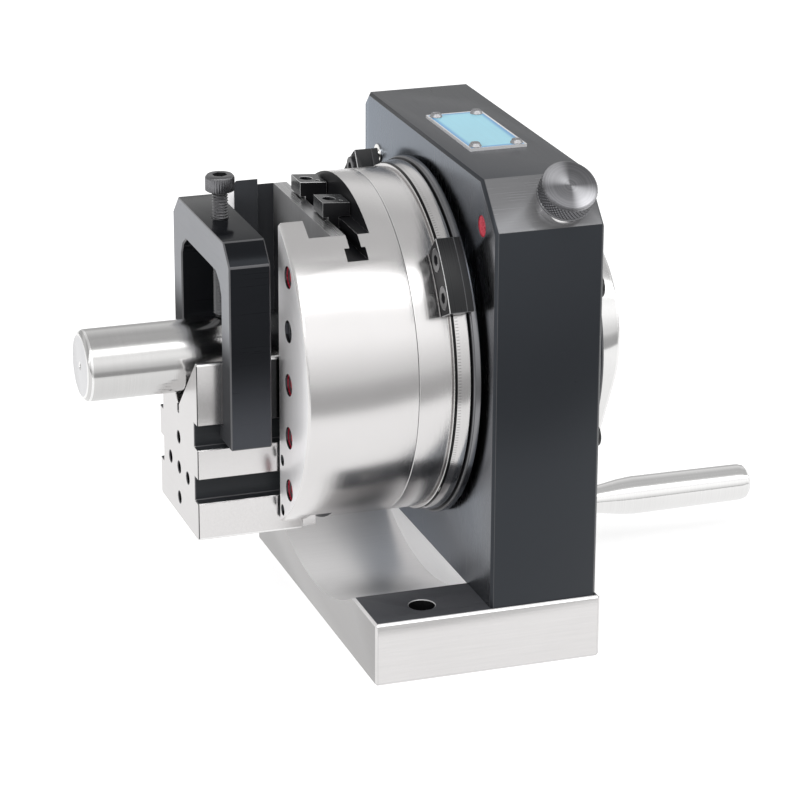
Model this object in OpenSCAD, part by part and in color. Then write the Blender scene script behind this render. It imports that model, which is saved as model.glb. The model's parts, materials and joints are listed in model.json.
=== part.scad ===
// Punch former: a base and housing carry an indexing spindle, and the
// spindle head carries a slide with a V-block that holds a round punch.
// Millimetres. X runs along the spindle, from the punch to the crank,
// Z is up from the bench, and Y is zero on the spindle axis.

/* [Base and housing] */
// height from the bench to the top of the housing
total_height = 122; // [100:1:150]
// width of the ground base, front to back of the photo
base_width = 99.6; // [80:0.2:120]
// height of the base
base_height = 16.25; // [12:0.25:22]
// length of the base in front of the housing
base_front = 29.7; // [20:0.1:40]
// how far the base stands out behind the housing
base_back = 1; // [0:0.1:3]
// radius of the trough that clears the turning head
trough_radius = 63.8; // [60:0.1:66]
// width of the housing
housing_width = 98.2; // [80:0.2:118]
// thickness of the housing along the spindle
housing_thickness = 27.5; // [24:0.5:34]
// large bevel on the near top edge, which carries the index knob
near_bevel = 10.4; // [8:0.1:14]
// small bevel on the far top edge
far_bevel = 3; // [1:0.1:6]
// broken edges of the housing
edge_break = 0.7; // [0.3:0.1:1.5]
// diameter of the two holes that bolt the base down
bolt_hole_d = 6.5; // [4.5:0.1:9]
// distance between the two bolt holes
bolt_hole_gap = 83; // [70:0.5:90]
// how far the bolt holes stand in front of the housing
bolt_hole_front = 15.1; // [10:0.1:20]

/* [Spindle] */
// height of the spindle axis above the bench
spindle_height = 71.35; // [60:0.05:85]
// radius of the turning head
head_radius = 42.7; // [38:0.1:46]
// distance from the housing to the front face of the head
head_front = 44.1; // [40:0.1:50]
// distance from the housing to the joint between head and spindle flange
head_joint = 16.4; // [13:0.1:20]
// radius of the scale ring at its rear edge
ring_radius = 44.1; // [43:0.1:46]
// distance from the housing to the front edge of the scale ring
ring_front = 7.8; // [6:0.1:9]
// thickness of the fixed cover ring and the gap behind it
cover_front = 3.35; // [2.5:0.05:4]
// radius of the fixed cover ring
cover_radius = 44.8; // [42:0.1:47]
// radius of the front journal
front_journal = 24; // [18:0.5:28]
// radius of the rear journal
rear_journal = 12; // [9:0.5:15]
// radial play of every running fit
run_play = 0.05; // [0.02:0.01:0.09]
// number of notches in the index plate
notch_count = 24; // [12:1:36]
// radius of the index plate
index_radius = 34; // [28:0.5:36]
// width of the index pin nose
nose_d = 3.4; // [2.4:0.1:4.5]

/* [Slide and V-block] */
// width of the slide slot where it opens at the front
slot_mouth = 37.7; // [34:0.1:44]
// width of the slide slot behind its lips
slot_width = 47.7; // [42:0.1:52]
// depth of the lips that hold the slide in
slot_lip = 6.1; // [4:0.1:8]
// depth of the slide slot from the front face of the head
slot_depth = 11.7; // [9:0.1:15]
// how far the slide stands above the spindle axis
slide_offset = 0.9; // [0:0.1:5]
// width of the V-block
vee_width = 35.2; // [30:0.2:37]
// length of the V-block in front of the slide plate
vee_length = 26.55; // [20:0.05:35]
// height of the top of the V-block above the punch axis
vee_rise = 3.5; // [1:0.1:6]
// distance from the punch axis to the bottom of the V-block
vee_drop = 42.25; // [36:0.25:50]
// height of each clamp groove
groove_height = 6.2; // [5:0.1:8]
// depth of each clamp groove
groove_depth = 3; // [2:0.1:4]
// pitch of the five holes in the front face
face_hole_pitch = 8; // [6:0.5:10]

/* [Punch and clamp] */
// diameter of the punch being formed
punch_d = 17.8; // [4:0.1:20]
// length of the punch
punch_length = 50; // [30:1:80]
// distance from the front of the head to the front end of the punch
punch_out = 44.8; // [30:0.1:60]
// width of the clamp yoke over its legs
yoke_width = 50.2; // [44:0.2:56]
// thickness of the clamp yoke along the punch
yoke_thickness = 10.3; // [8:0.1:14]
// height of the top of the yoke above the punch axis
yoke_rise = 34.35; // [28:0.05:40]
// gap between the yoke and the front face of the head
yoke_gap = 3.75; // [2:0.05:8]
// diameter of the clamp screw
clamp_screw_d = 4; // [3:0.5:6]
// length of the clamp screw under its head
clamp_screw_length = 31.9; // [20:0.1:40]

/* [Crank] */
// distance from the housing to the front of the crank hub
crank_gap = 8.5; // [7:0.1:12]
// thickness of the crank
crank_thickness = 7.5; // [5:0.1:10]
// radius of the crank hub
crank_hub = 23; // [16:0.5:28]
// distance from the spindle axis to the handle axis
crank_throw = 57.2; // [45:0.1:58]
// angle of the crank from straight down, at rest
crank_angle = 12; // [0:0.5:45]
// length of the handle behind the crank
handle_length = 52; // [35:0.5:65]
// greatest diameter of the handle
handle_d = 10.1; // [8:0.1:13]

/* [Name plate] */
// width of the bare plate along the spindle
plate_wide = 14.7; // [10:0.1:18]
// length of the plate across the housing
plate_long = 32.6; // [20:0.1:50]
// middle of the plate behind the housing's front face
plate_x = 13.05; // [10:0.05:16]
// middle of the plate towards the far side
plate_y = 1; // [-10:0.5:10]
// thickness of the plate
plate_thick = 0.8; // [0.4:0.1:1.5]

/* [Stops and knob] */
// angle of the near stop dog above the near side
near_dog_angle = 35.3; // [20:0.1:60]
// angle of the far stop dog, counted the same way
far_dog_angle = 135; // [100:0.1:150]
// radius over the stop dogs
dog_radius = 49.5; // [47:0.1:52]
// diameter of the index knob
knob_d = 13.9; // [10:0.1:18]
// length of the index knob
knob_length = 5.7; // [4:0.1:9]
// travel of the index pin from drawn back to home
pin_travel = 3.4; // [2:0.1:4]

/* [Hidden] */

$fn = 48;
eps = 0.02;
zr = spindle_height;
base_length = base_front + housing_thickness + base_back;
base_chamfer = 0.6;
// screws and dowels: radii of thread, clear hole, head and counterbore
m3_thread = 1.5;
m3_clear = 1.6;
m3_head = 2.7;
m3_sink = 2.75;
m4_thread = 2;
m4_head = 3.5;
m6_d = 6;
m6_head = 10;
dowel_d = 5;
plate_screw_d = 1.8;
half_house = housing_width / 2;
zp = zr + slide_offset;
// front faces along the spindle, all in front of the housing
x_head = -head_front;
x_slot_back = x_head + slot_depth;
x_slot_lip = x_head + slot_lip;
x_flat_back = x_slot_back + 9.5;
flat_z = zr + 35.35;
// the T-slot across the top flat, from the flat's front edge
neck_x = x_slot_back + 3.5;
neck_wide = 3;
neck_deep = 2.3;
tee_x = x_slot_back + 2.2;
tee_wide = 5.3;
tee_deep = 2.5;
stop_wide = 7.6;
stop_screw_r = 1.2;
stop_screw_x = x_slot_back + 5;
// five counterbored screws stand in a row on each cheek, and two lock screws below
cheek_side = 26.6;
cheek_pitch = 13.55;
cheek_sink = 3.9;
lock_row = 20.9;
lock_screw_r = 1.4;
lock_heights = [zr - 21.35, zr - 34.35];
// the slide plate fills the slot with running play on every side
slide_back = x_slot_back - run_play;
slide_front = x_slot_lip + run_play;
slide_half = slot_width / 2 - run_play;
tongue_thickness = 3.6;
tongue_half = 16.8;
wing_rise = 7;
wing_height = 36.5;
vee_screw_side = 9;
vee_screw_z = zp - 24;
height_screw_side = 13;
height_screw_r = 1.2;
vee_front = slide_front - vee_length;
vee_top = zp + vee_rise;
vee_bottom = zp - vee_drop;
// the V seats the punch with 0.3 between the faces
vee_apex = zp - (punch_d / 2 + 0.3) * sqrt(2);
groove_top = zp - 12.45;
groove_low = groove_top - 13.9;
yoke_back = x_head - yoke_gap;
yoke_front = yoke_back - yoke_thickness;
yoke_top = zp + yoke_rise;
yoke_inner = vee_width / 2 + 0.3;
screw_x = yoke_front + yoke_thickness / 2;
screw_tip = zp + punch_d / 2 + 0.3;
// the spindle from front to back: journal, index plate, lock nut
bush_wall = 5;
bush_length = 11.5;
plate_front = 14.6;
plate_back = plate_front + 6;
nut_back = plate_back + 4;
index_hub = 14;
nut_r = 18;
chamber_radius = index_radius + 2.5;
key_wide = 4;
crank_bore = 8;
// the index pin axis runs at 45 degrees through the spindle axis
pin_x = plate_front + 3;
pin_bush_r = 5;
pin_bush_low = index_radius + 4;
spring_seat = index_radius + 8.5;
spring_bore = 3.6;
pin_shank = 2;
bevel_d = (total_height + half_house - near_bevel - zr) / sqrt(2);
tip_d = index_radius + 0.5;
collar_h = 3;
collar_r = 5.7;
// the index bush stops 4.2 under the bevel, where the collar takes over
bush_top = bevel_d - 4.2;
spring_top = bevel_d - 2.1;
lock_side = (bevel_d - 7.5) / sqrt(2);
lock_r = 2.6;
oiler_r = 2.6;
oiler_depth = 3.5;
oiler_side = half_house - 11.5;
oiler_up = total_height - 14.2;
// rows of screws and dowels, from the housing's own faces
foot_rows = [6.5, housing_thickness - 6.5];
foot_side = half_house - 12.1;
foot_sink = 7.5;
dowel_side = half_house - 5.6;
dowel_low = 8;
dowel_length = 15;
cap_in = housing_thickness - 2;
cap_face = housing_thickness + 3;
cap_end = housing_thickness + 6.5;
cap_ring = chamber_radius + 2.1;
cap_flange = cap_ring + 3.4;
cap_angles = [30:60:330];
rear_bush_r = 16;
ring_bore = 30;
ring_circle = 36;
ring_angles = [22.5:90:292.5];
cover_circle = 33.5;
cover_angles = [45:90:315];
// the ring on the spindle clears the fixed cover ring by 0.3
cover_back = 1.8 - cover_front;
ring_back = -cover_front - 0.3;
// the stop dogs, from their front face to the seam with the keeper
dog_front = -ring_front - 2;
dog_step = -ring_front - 0.4;
dog_seam = 2.4 - ring_front;
dog_arc = 22;
dog_gap = 0.3;
dog_circle = (ring_radius + dog_radius) / 2 - 0.4;
dog_screw_step = 5.9;
plate_spots = [for (x = [-1, 1], y = [-1, 1])
    [plate_x + x * (plate_wide / 2 - 2), plate_y + y * (plate_long / 2 - 2)]];
knob_low = bevel_d + pin_travel + 0.2;
knob_top = knob_low + knob_length;
crank_x = housing_thickness + crank_gap;
crank_end = crank_x + crank_thickness;
// the screw and washer that hold the crank on the spindle
bolt_r = 2.5;
bolt_low = cap_face;
washer_thick = 1.6;

// a round bar along the spindle axis from a to b
module axial(a, b, r, fn = 96) {
    translate([a, 0, zr]) rotate([0, 90, 0]) cylinder(h = b - a, r = r, $fn = fn);
}

// a round bar parallel to the spindle at y, z
module bar(a, b, r, y, z, fn = 32) {
    translate([a, y, z]) rotate([0, 90, 0]) cylinder(h = b - a, r = r, $fn = fn);
}

// puts its children, drawn about the X axis, at each angle of a circle about the spindle
module on_circle(radius, angles) {
    for (a = angles)
        translate([0, radius * cos(a), zr + radius * sin(a)]) children();
}

// puts its children, drawn about the X axis, at each screw of the head's two cheeks
module on_cheeks() {
    for (s = [-1, 1], k = [-2:2])
        translate([0, s * cheek_side, zr + k * cheek_pitch]) children();
}

// a six-sided socket recess parallel to the spindle
module hex_bar(a, b, across, y, z) {
    translate([a, y, z]) rotate([0, 90, 0])
        cylinder(h = b - a, r = across / 2 / cos(30), $fn = 6);
}

// a turned shape about the spindle axis, drawn as [radius, x] pairs
module turned(points, fn = 96) {
    translate([0, 0, zr]) rotate([0, 90, 0]) rotate_extrude($fn = fn)
        polygon(points);
}

// carries its children to the index pin axis, Z running outward
module on_pin_axis() {
    translate([pin_x, 0, zr]) rotate([45, 0, 0]) children();
}

// a profile in Y and Z extruded along X from a to b
module section(a, b) {
    translate([a, 0, 0]) rotate([90, 0, 90]) linear_extrude(height = b - a) children();
}

module base() {
    color("silver")
    difference() {
        hull() {
            for (e = [[1, 0, 1], [0, 1, 1], [1, 1, 0]] * base_chamfer)
                translate([-base_front + e.x, -base_width / 2 + e.y, e.z])
                    cube([base_length - 2 * e.x, base_width - 2 * e.y, base_height - 2 * e.z]);
        }
        axial(-base_front - 1, 0, trough_radius, 160);
        for (s = [-1, 1])
            translate([-bolt_hole_front, s * bolt_hole_gap / 2, -1])
                cylinder(h = base_height + 2, d = bolt_hole_d, $fn = 40);
        for (s = [-1, 1], x = foot_rows)
            translate([x, s * foot_side, 0]) {
                translate([0, 0, -1]) cylinder(h = foot_sink + 1, d = m6_head + 0.6, $fn = 32);
                translate([0, 0, -1]) cylinder(h = base_height + 2, d = m6_d + 0.4, $fn = 32);
            }
        for (s = [-1, 1])
            translate([housing_thickness / 2, s * dowel_side, dowel_low - 2])
                cylinder(h = base_height, d = dowel_d, $fn = 32);
    }
}

module housing_outline(inset) {
    w = half_house - inset;
    t = total_height - inset;
    polygon([[-w, base_height], [w, base_height],
             [w, t - far_bevel], [w - far_bevel, t],
             [-w + near_bevel, t], [-w, t - near_bevel]]);
}

module housing() {
    color("dimgray")
    difference() {
        hull() {
            section(edge_break, housing_thickness - edge_break) housing_outline(0);
            section(0, housing_thickness) housing_outline(edge_break);
        }
        axial(-1, bush_length + 0.5, front_journal + bush_wall);
        axial(bush_length, housing_thickness + 1, chamber_radius);
        on_pin_axis() translate([0, 0, chamber_radius - 6.5]) cylinder(h = bevel_d, r = pin_bush_r);
        for (s = [-1, 1], x = foot_rows)
            translate([x, s * foot_side, base_height - 1]) cylinder(h = 14, d = m6_d, $fn = 32);
        for (s = [-1, 1])
            translate([housing_thickness / 2, s * dowel_side, base_height - 1])
                cylinder(h = 9, d = dowel_d, $fn = 32);
        bar(-1, 14, lock_r + run_play, -lock_side, zr + lock_side);
        bar(-1, oiler_depth + 0.5, oiler_r, oiler_side, oiler_up);
        on_circle(cover_circle, cover_angles) bar(-1, 9, m3_thread, 0, 0, 24);
        on_circle(cap_ring, cap_angles) bar(20, housing_thickness + 1, m3_thread, 0, 0, 24);
        for (spot = plate_spots)
            translate([spot.x, spot.y, total_height - 5]) cylinder(h = 6, d = plate_screw_d, $fn = 24);
    }
}

module housing_screws() {
    color("dimgray")
    for (s = [-1, 1], x = foot_rows)
        translate([x, s * foot_side, 0]) difference() {
            union() {
                translate([0, 0, foot_sink - m6_d]) cylinder(h = m6_d, d = m6_head, $fn = 32);
                translate([0, 0, foot_sink]) cylinder(h = 20, d = m6_d, $fn = 32);
            }
            translate([0, 0, 1]) cylinder(h = 4, r = 2.5 / cos(30), $fn = 6);
        }
}

module housing_dowels() {
    color("silver")
    for (s = [-1, 1])
        translate([housing_thickness / 2, s * dowel_side, dowel_low])
            cylinder(h = dowel_length, d = dowel_d, $fn = 32);
}

module name_plate() {
    color("lightsteelblue")
    difference() {
        translate([plate_x - plate_wide / 2, plate_y - plate_long / 2, total_height])
            cube([plate_wide, plate_long, plate_thick]);
        for (spot = plate_spots)
            translate([spot.x, spot.y, total_height - 1])
                cylinder(h = 3, d = plate_screw_d + 0.2, $fn = 24);
    }
}

module plate_screws() {
    color("silver")
    for (spot = plate_spots)
        translate([spot.x, spot.y, total_height]) difference() {
            union() {
                translate([0, 0, -4.5])
                    cylinder(h = plate_thick + 4.7, d = plate_screw_d, $fn = 24);
                translate([0, 0, plate_thick]) cylinder(h = 0.9, d1 = 3.2, d2 = 2.2, $fn = 24);
            }
            translate([-2, -0.2, plate_thick + 0.55]) cube([4, 0.4, 1]);
        }
}

module cover_ring() {
    color("gray")
    difference() {
        turned([[front_journal + 0.6, -cover_front], [cover_radius - 0.3, -cover_front],
                [cover_radius, -cover_front + 0.3], [cover_radius, cover_back],
                [38, cover_back], [38, 0], [front_journal + 0.6, 0]]);
        on_circle(cover_circle, cover_angles) {
            bar(-cover_front - 1, 1, m3_clear, 0, 0, 24);
            bar(-cover_front - 1, cover_back - 0.05, m3_sink, 0, 0, 24);
        }
    }
}

module cover_screws() {
    color("dimgray")
    on_circle(cover_circle, cover_angles) difference() {
        union() {
            bar(0.05 - cover_front, cover_back - 0.05, m3_head, 0, 0, 24);
            bar(cover_back - 0.25, 7, m3_thread, 0, 0, 24);
        }
        hex_bar(-cover_front - 1, cover_back - 0.85, 2, 0, 0);
    }
}

module front_bush() {
    color("goldenrod")
    difference() {
        axial(0, bush_length, front_journal + bush_wall);
        axial(-1, bush_length + 0.5, front_journal + run_play);
    }
}

module rear_cap() {
    color("dimgray")
    difference() {
        turned([[rear_bush_r, cap_in], [chamber_radius - 0.1, cap_in],
                [chamber_radius - 0.1, housing_thickness],
                [cap_flange, housing_thickness], [cap_flange, cap_face - 0.5],
                [cap_flange - 0.5, cap_face], [chamber_radius - 1, cap_face],
                [chamber_radius - 1, cap_end - 0.6], [chamber_radius - 1.6, cap_end],
                [rear_bush_r, cap_end]]);
        on_circle(cap_ring, cap_angles) bar(20, 50, m3_clear, 0, 0, 24);
    }
}

module rear_bush() {
    color("goldenrod")
    difference() {
        axial(cap_in, cap_end, rear_bush_r, 64);
        axial(cap_in - 1, cap_end + 1, rear_journal + run_play, 64);
    }
}

module cap_screws() {
    color("dimgray")
    on_circle(cap_ring, cap_angles) difference() {
        union() {
            bar(cap_face, cap_face + 2.9, m3_head, 0, 0, 24);
            bar(cap_face - 9, cap_face + 1, m3_thread, 0, 0, 24);
        }
        hex_bar(cap_face + 1.5, cap_face + 5, 2.5, 0, 0);
    }
}

module index_bush() {
    color("silver")
    on_pin_axis() difference() {
        translate([0, 0, pin_bush_low]) cylinder(h = bush_top - pin_bush_low, r = pin_bush_r);
        translate([0, 0, pin_bush_low - 1]) cylinder(h = bush_top, r = nose_d / 2 + run_play, $fn = 32);
        translate([0, 0, spring_seat]) cylinder(h = bush_top, r = spring_bore, $fn = 32);
    }
}

module index_collar() {
    color("silver")
    on_pin_axis() difference() {
        union() {
            translate([0, 0, bush_top]) cylinder(h = bevel_d - bush_top + 1, r = pin_bush_r);
            translate([0, 0, bevel_d]) cylinder(h = collar_h - 0.5, r = collar_r);
            translate([0, 0, bevel_d + collar_h - 0.5])
                cylinder(h = 0.5, r1 = collar_r, r2 = collar_r - 0.5);
        }
        translate([0, 0, bush_top - 1]) cylinder(h = 30, r = pin_shank + run_play, $fn = 32);
        translate([0, 0, bush_top - 1])
            cylinder(h = spring_top + 0.4 - bush_top + 1, r = spring_bore, $fn = 32);
    }
}

// sealing wax pressed over the lock screw, flush under the front face
module bush_seal() {
    color("firebrick")
    bar(0.1, 0.6, lock_r, -lock_side, zr + lock_side, 32);
}

module bush_lock_screw() {
    color("dimgray")
    difference() {
        bar(0.6, 12.6, lock_r, -lock_side, zr + lock_side);
        hex_bar(-1, 2.4, 2.5, -lock_side, zr + lock_side);
    }
}

module oiler() {
    color("goldenrod")
    translate([0, oiler_side, oiler_up]) rotate([0, 90, 0]) rotate_extrude($fn = 32)
        polygon([[0, -2.2], [0.8, -2], [1.3, -1.6], [1.5, -1.1], [1.5, -0.6], [oiler_r, -0.4],
                 [oiler_r, oiler_depth], [0, oiler_depth]]);
}

module spindle() {
    color("silver")
    difference() {
        turned([[0, -head_joint], [head_radius, -head_joint], [head_radius, -ring_front - 0.5],
                [head_radius - 0.5, -ring_front], [ring_bore, -ring_front], [ring_bore, ring_back],
                [front_journal, ring_back], [front_journal, bush_length + 1],
                [18, bush_length + 1], [18, plate_front],
                [index_hub, plate_front], [index_hub, nut_back + 0.2],
                [rear_journal, nut_back + 0.2], [rear_journal, crank_x],
                [crank_bore, crank_x], [crank_bore, crank_end - 0.3], [0, crank_end - 0.3]]);
        on_cheeks() bar(-20, -9.5, m3_thread, 0, 0, 24);
        bar(bolt_low, crank_end + 1, bolt_r, 0, zr, 24);
        translate([crank_x, -key_wide / 2, zr + 6]) cube([10, key_wide, 4]);
        translate([plate_front, -key_wide / 2, zr - 15.5]) cube([6, key_wide, 4.5]);
        on_circle(ring_circle, ring_angles) bar(-14, -5, m3_thread, 0, 0, 24);
    }
}

module rotor_head() {
    color("silver")
    difference() {
        turned([[0, x_head], [head_radius - 0.6, x_head], [head_radius, x_head + 0.6],
                [head_radius, -head_joint - 0.15], [head_radius - 0.15, -head_joint],
                [0, -head_joint]], 128);
        translate([x_head - 1, -slot_mouth / 2, 0]) cube([slot_depth + 1, slot_mouth, 150]);
        translate([x_slot_lip, -slot_width / 2, 0]) cube([slot_depth - slot_lip, slot_width, 150]);
        translate([x_slot_back - eps, -60, flat_z]) cube([x_flat_back - x_slot_back + eps, 120, 40]);
        translate([neck_x, -60, flat_z - neck_deep]) cube([neck_wide, 120, 10]);
        translate([tee_x, -60, flat_z - neck_deep - tee_deep]) cube([tee_wide, 120, tee_deep]);
        on_cheeks() {
            bar(-50, -10, m3_clear, 0, 0, 24);
            bar(-50, x_head + cheek_sink, m3_sink, 0, 0, 32);
        }
        for (s = [-1, 1], z = lock_heights)
            bar(-50, x_slot_lip + 1, lock_screw_r, s * lock_row, z, 24);
    }
}

module scale_ring() {
    color("silver")
    difference() {
        turned([[ring_bore, -ring_front], [ring_radius - 0.9, -ring_front],
                [ring_radius - 0.6, -ring_front + 0.3], [ring_radius, ring_back - 0.35],
                [ring_radius - 0.35, ring_back], [ring_bore, ring_back]]);
        on_circle(ring_circle, ring_angles) {
            bar(-10, 0, m3_clear, 0, 0, 24);
            bar(-5.4, 0, m3_sink, 0, 0, 24);
        }
    }
}

module ring_screws() {
    color("dimgray")
    on_circle(ring_circle, ring_angles) difference() {
        union() {
            bar(-5.4, ring_back - 0.15, m3_head, 0, 0, 24);
            bar(-13.5, -5, m3_thread, 0, 0, 24);
        }
        hex_bar(-4.7, -3, 2, 0, 0);
    }
}

module head_screws() {
    color("dimgray")
    on_cheeks() difference() {
        union() {
            bar(x_head + 0.7, x_head + cheek_sink, m3_head, 0, 0, 32);
            bar(x_head + 3.5, -10, m3_thread, 0, 0, 24);
        }
        hex_bar(x_head, x_head + 2.4, 2.5, 0, 0);
    }
}

// sealing wax round the sockets of the cheek screws, but not on the near side's second one
module wax_seals() {
    color("firebrick")
    for (s = [-1, 1], k = [-2:2])
        if (s > 0 || k != 1)
            difference() {
                bar(x_head + 0.2, x_head + 0.7, m3_head, s * cheek_side, zr + k * cheek_pitch, 32);
                bar(x_head, x_head + 1, 1.45, s * cheek_side, zr + k * cheek_pitch, 24);
            }
}

module slide_lock_screws() {
    color("dimgray")
    for (s = [-1, 1], z = lock_heights)
        difference() {
            bar(x_head + 0.8, x_slot_lip - 0.3, lock_screw_r, s * lock_row, z, 24);
            hex_bar(x_head, x_head + 2.4, 1.3, s * lock_row, z);
        }
}

module index_plate() {
    color("silver")
    difference() {
        axial(plate_front, plate_back, index_radius, 96);
        axial(10, 30, index_hub, 64);
        for (i = [0:notch_count - 1])
            translate([10, 0, zr]) rotate([45 + i * 360 / notch_count, 0, 0])
                translate([0, -nose_d / 2 - run_play, index_radius - 4])
                    cube([20, nose_d + 2 * run_play, 10]);
        translate([14, -key_wide / 2, zr - 15.5]) cube([8, key_wide, 5]);
    }
}

module index_key() {
    color("dimgray")
    translate([plate_front + 0.1, -key_wide / 2, zr - 15.4])
        cube([plate_back - plate_front - 0.2, key_wide, 4.2]);
}

module lock_nut() {
    color("dimgray")
    difference() {
        axial(plate_back, nut_back, nut_r, 64);
        axial(plate_back - 1, nut_back + 1, index_hub, 64);
        for (a = [0:90:270])
            translate([plate_back, 0, zr]) rotate([a, 0, 0])
                translate([-1, -2, nut_r - 1.8]) cube([6, 4, 4]);
    }
}

module crank_arm() {
    hy = crank_throw * sin(crank_angle);
    hz = zr - crank_throw * cos(crank_angle);
    color("gainsboro")
    difference() {
        hull() {
            axial(crank_x + 0.6, crank_end - 0.6, crank_hub, 96);
            axial(crank_x, crank_end, crank_hub - 0.6, 96);
            bar(crank_x + 0.6, crank_end - 0.6, 8, hy, hz, 48);
            bar(crank_x, crank_end, 7.4, hy, hz, 48);
        }
        axial(crank_x - 1, crank_end + 1, crank_bore, 48);
        bar(crank_x - 1, crank_end + 1, 3, hy, hz, 32);
        translate([crank_x - 1, -key_wide / 2, zr + 6]) cube([12, key_wide, 4]);
    }
}

module crank_key() {
    color("dimgray")
    translate([crank_x + 0.1, -key_wide / 2, zr + 6]) cube([crank_thickness - 0.4, key_wide, 4]);
}

module crank_washer() {
    color("silver")
    difference() {
        axial(crank_end, crank_end + washer_thick, crank_bore + 2.5, 48);
        axial(crank_end - 1, crank_end + 3, bolt_r + 0.2, 32);
    }
}

module crank_screw() {
    color("dimgray")
    difference() {
        union() {
            axial(crank_end + washer_thick, crank_end + 6.6, bolt_r + 1.75, 32);
            axial(bolt_low + 0.5, crank_end + 2, bolt_r, 24);
        }
        hex_bar(crank_end + 4, crank_end + 8, 4, 0, zr);
    }
}

module crank_handle() {
    e = crank_end;
    r = handle_d / 2;
    l = handle_length;
    color("gainsboro")
    translate([0, crank_throw * sin(crank_angle), zr - crank_throw * cos(crank_angle)])
        rotate([0, 90, 0]) rotate_extrude($fn = 48)
            polygon([[0, crank_x + 0.3], [3, crank_x + 0.3], [3, e], [r - 0.9, e], [r - 0.9, e + 1.5],
                     [r - 1.6, e + 3], [r - 1.7, e + 6], [r - 1.1, e + 10.5], [r - 0.35, e + 15],
                     [r, e + 19], [r - 0.05, e + 30], [r - 0.2, e + l - 2.5], [r - 0.55, e + l - 1.1],
                     [r - 1.5, e + l - 0.25], [r - 2.6, e + l], [0, e + l]]);
}

module vee_outline() {
    w = vee_width / 2;
    c = 0.5;
    g = groove_depth;
    land = vee_top - vee_apex;
    polygon([[-w + c, vee_bottom], [w - c, vee_bottom], [w, vee_bottom + c],
             [w, groove_low - groove_height], [w - g, groove_low - groove_height],
             [w - g, groove_low], [w, groove_low],
             [w, groove_top - groove_height], [w - g, groove_top - groove_height],
             [w - g, groove_top], [w, groove_top],
             [w, vee_top - c], [w - c, vee_top], [land, vee_top],
             [0.6, vee_apex + 0.6], [0.6, vee_apex - 1.6], [-0.6, vee_apex - 1.6], [-0.6, vee_apex + 0.6],
             [-land, vee_top], [-w + c, vee_top], [-w, vee_top - c],
             [-w, groove_top], [-w + g, groove_top],
             [-w + g, groove_top - groove_height], [-w, groove_top - groove_height],
             [-w, groove_low], [-w + g, groove_low],
             [-w + g, groove_low - groove_height], [-w, groove_low - groove_height],
             [-w, vee_bottom + c]]);
}

module face_holes(a, b, r, fn = 24) {
    z = vee_bottom + 13.05;
    for (p = [[0, 0], [-1, 0], [1, 0], [0, 1], [0, -1]])
        bar(a, b, r, p[0] * face_hole_pitch, z + p[1] * face_hole_pitch, fn);
}

module v_block() {
    color("lightgray")
    difference() {
        section(vee_front, slide_front) vee_outline();
        face_holes(vee_front - 1, vee_front + 10, 1.5);
        for (s = [-1, 1])
            bar(slide_front - 12, slide_front + 1, m4_thread, s * vee_screw_side, vee_screw_z, 24);
    }
}

module slide_plate() {
    color("silver")
    difference() {
        union() {
            translate([slide_front, -slide_half, vee_bottom + wing_rise])
                cube([slide_back - slide_front, 2 * slide_half, wing_height]);
            translate([slide_front, -tongue_half, vee_bottom + 0.4])
                cube([tongue_thickness, 2 * tongue_half, wing_rise + 1]);
        }
        for (s = [-1, 1]) {
            bar(slide_front - 1, slide_back + 1, m4_thread + 0.1, s * vee_screw_side, vee_screw_z, 24);
            bar(slide_back - 4.3, slide_back + 1, m4_head + 0.1, s * vee_screw_side, vee_screw_z, 24);
        }
        translate([slide_front + tongue_thickness / 2, -height_screw_side, vee_bottom - 1])
            cylinder(h = 12, r = height_screw_r, $fn = 24);
        translate([slide_front - 1, -punch_d / 2 - 0.6, zp - punch_d / 2 - 0.6])
            cube([slide_back - slide_front + 2, punch_d + 1.2, 2 * punch_d]);
    }
}

module slide_screws() {
    color("dimgray")
    for (s = [-1, 1])
        difference() {
            union() {
                bar(slide_back - 4.3, slide_back - 0.3, m4_head, s * vee_screw_side, vee_screw_z, 24);
                bar(slide_front - 10, slide_back - 4, m4_thread, s * vee_screw_side, vee_screw_z, 24);
            }
            hex_bar(slide_back - 2.5, slide_back + 1, 3, s * vee_screw_side, vee_screw_z);
        }
}

module height_screw() {
    color("dimgray")
    translate([slide_front + tongue_thickness / 2, -height_screw_side, vee_bottom + 0.9]) difference() {
        cylinder(h = 9.9, r = height_screw_r, $fn = 24);
        translate([0, 0, -1]) cylinder(h = 2.5, r = 0.7, $fn = 6);
    }
}

module yoke_outline() {
    w = yoke_width / 2;
    i = yoke_inner;
    t = yoke_top;
    lip_top = groove_top - 0.3;
    lip_low = groove_top - 4.4;
    lip_in = vee_width / 2 - groove_depth + 0.3;
    polygon([[-w, lip_low], [-w, t - 5], [-w + 5, t], [w - 5, t], [w, t - 5], [w, lip_low],
             [lip_in, lip_low], [lip_in, lip_top], [i, lip_top],
             [i, t - 14], [i - 1.5, t - 11.2], [i - 4.5, t - 9.2],
             [-i + 4.5, t - 9.2], [-i + 1.5, t - 11.2], [-i, t - 14],
             [-i, lip_top], [-lip_in, lip_top], [-lip_in, lip_low]]);
}

module yoke() {
    color("dimgray")
    difference() {
        section(yoke_front, yoke_back) yoke_outline();
        translate([screw_x, 0, yoke_top - 20]) cylinder(h = 30, r = clamp_screw_d / 2 + run_play, $fn = 32);
    }
}

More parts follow.
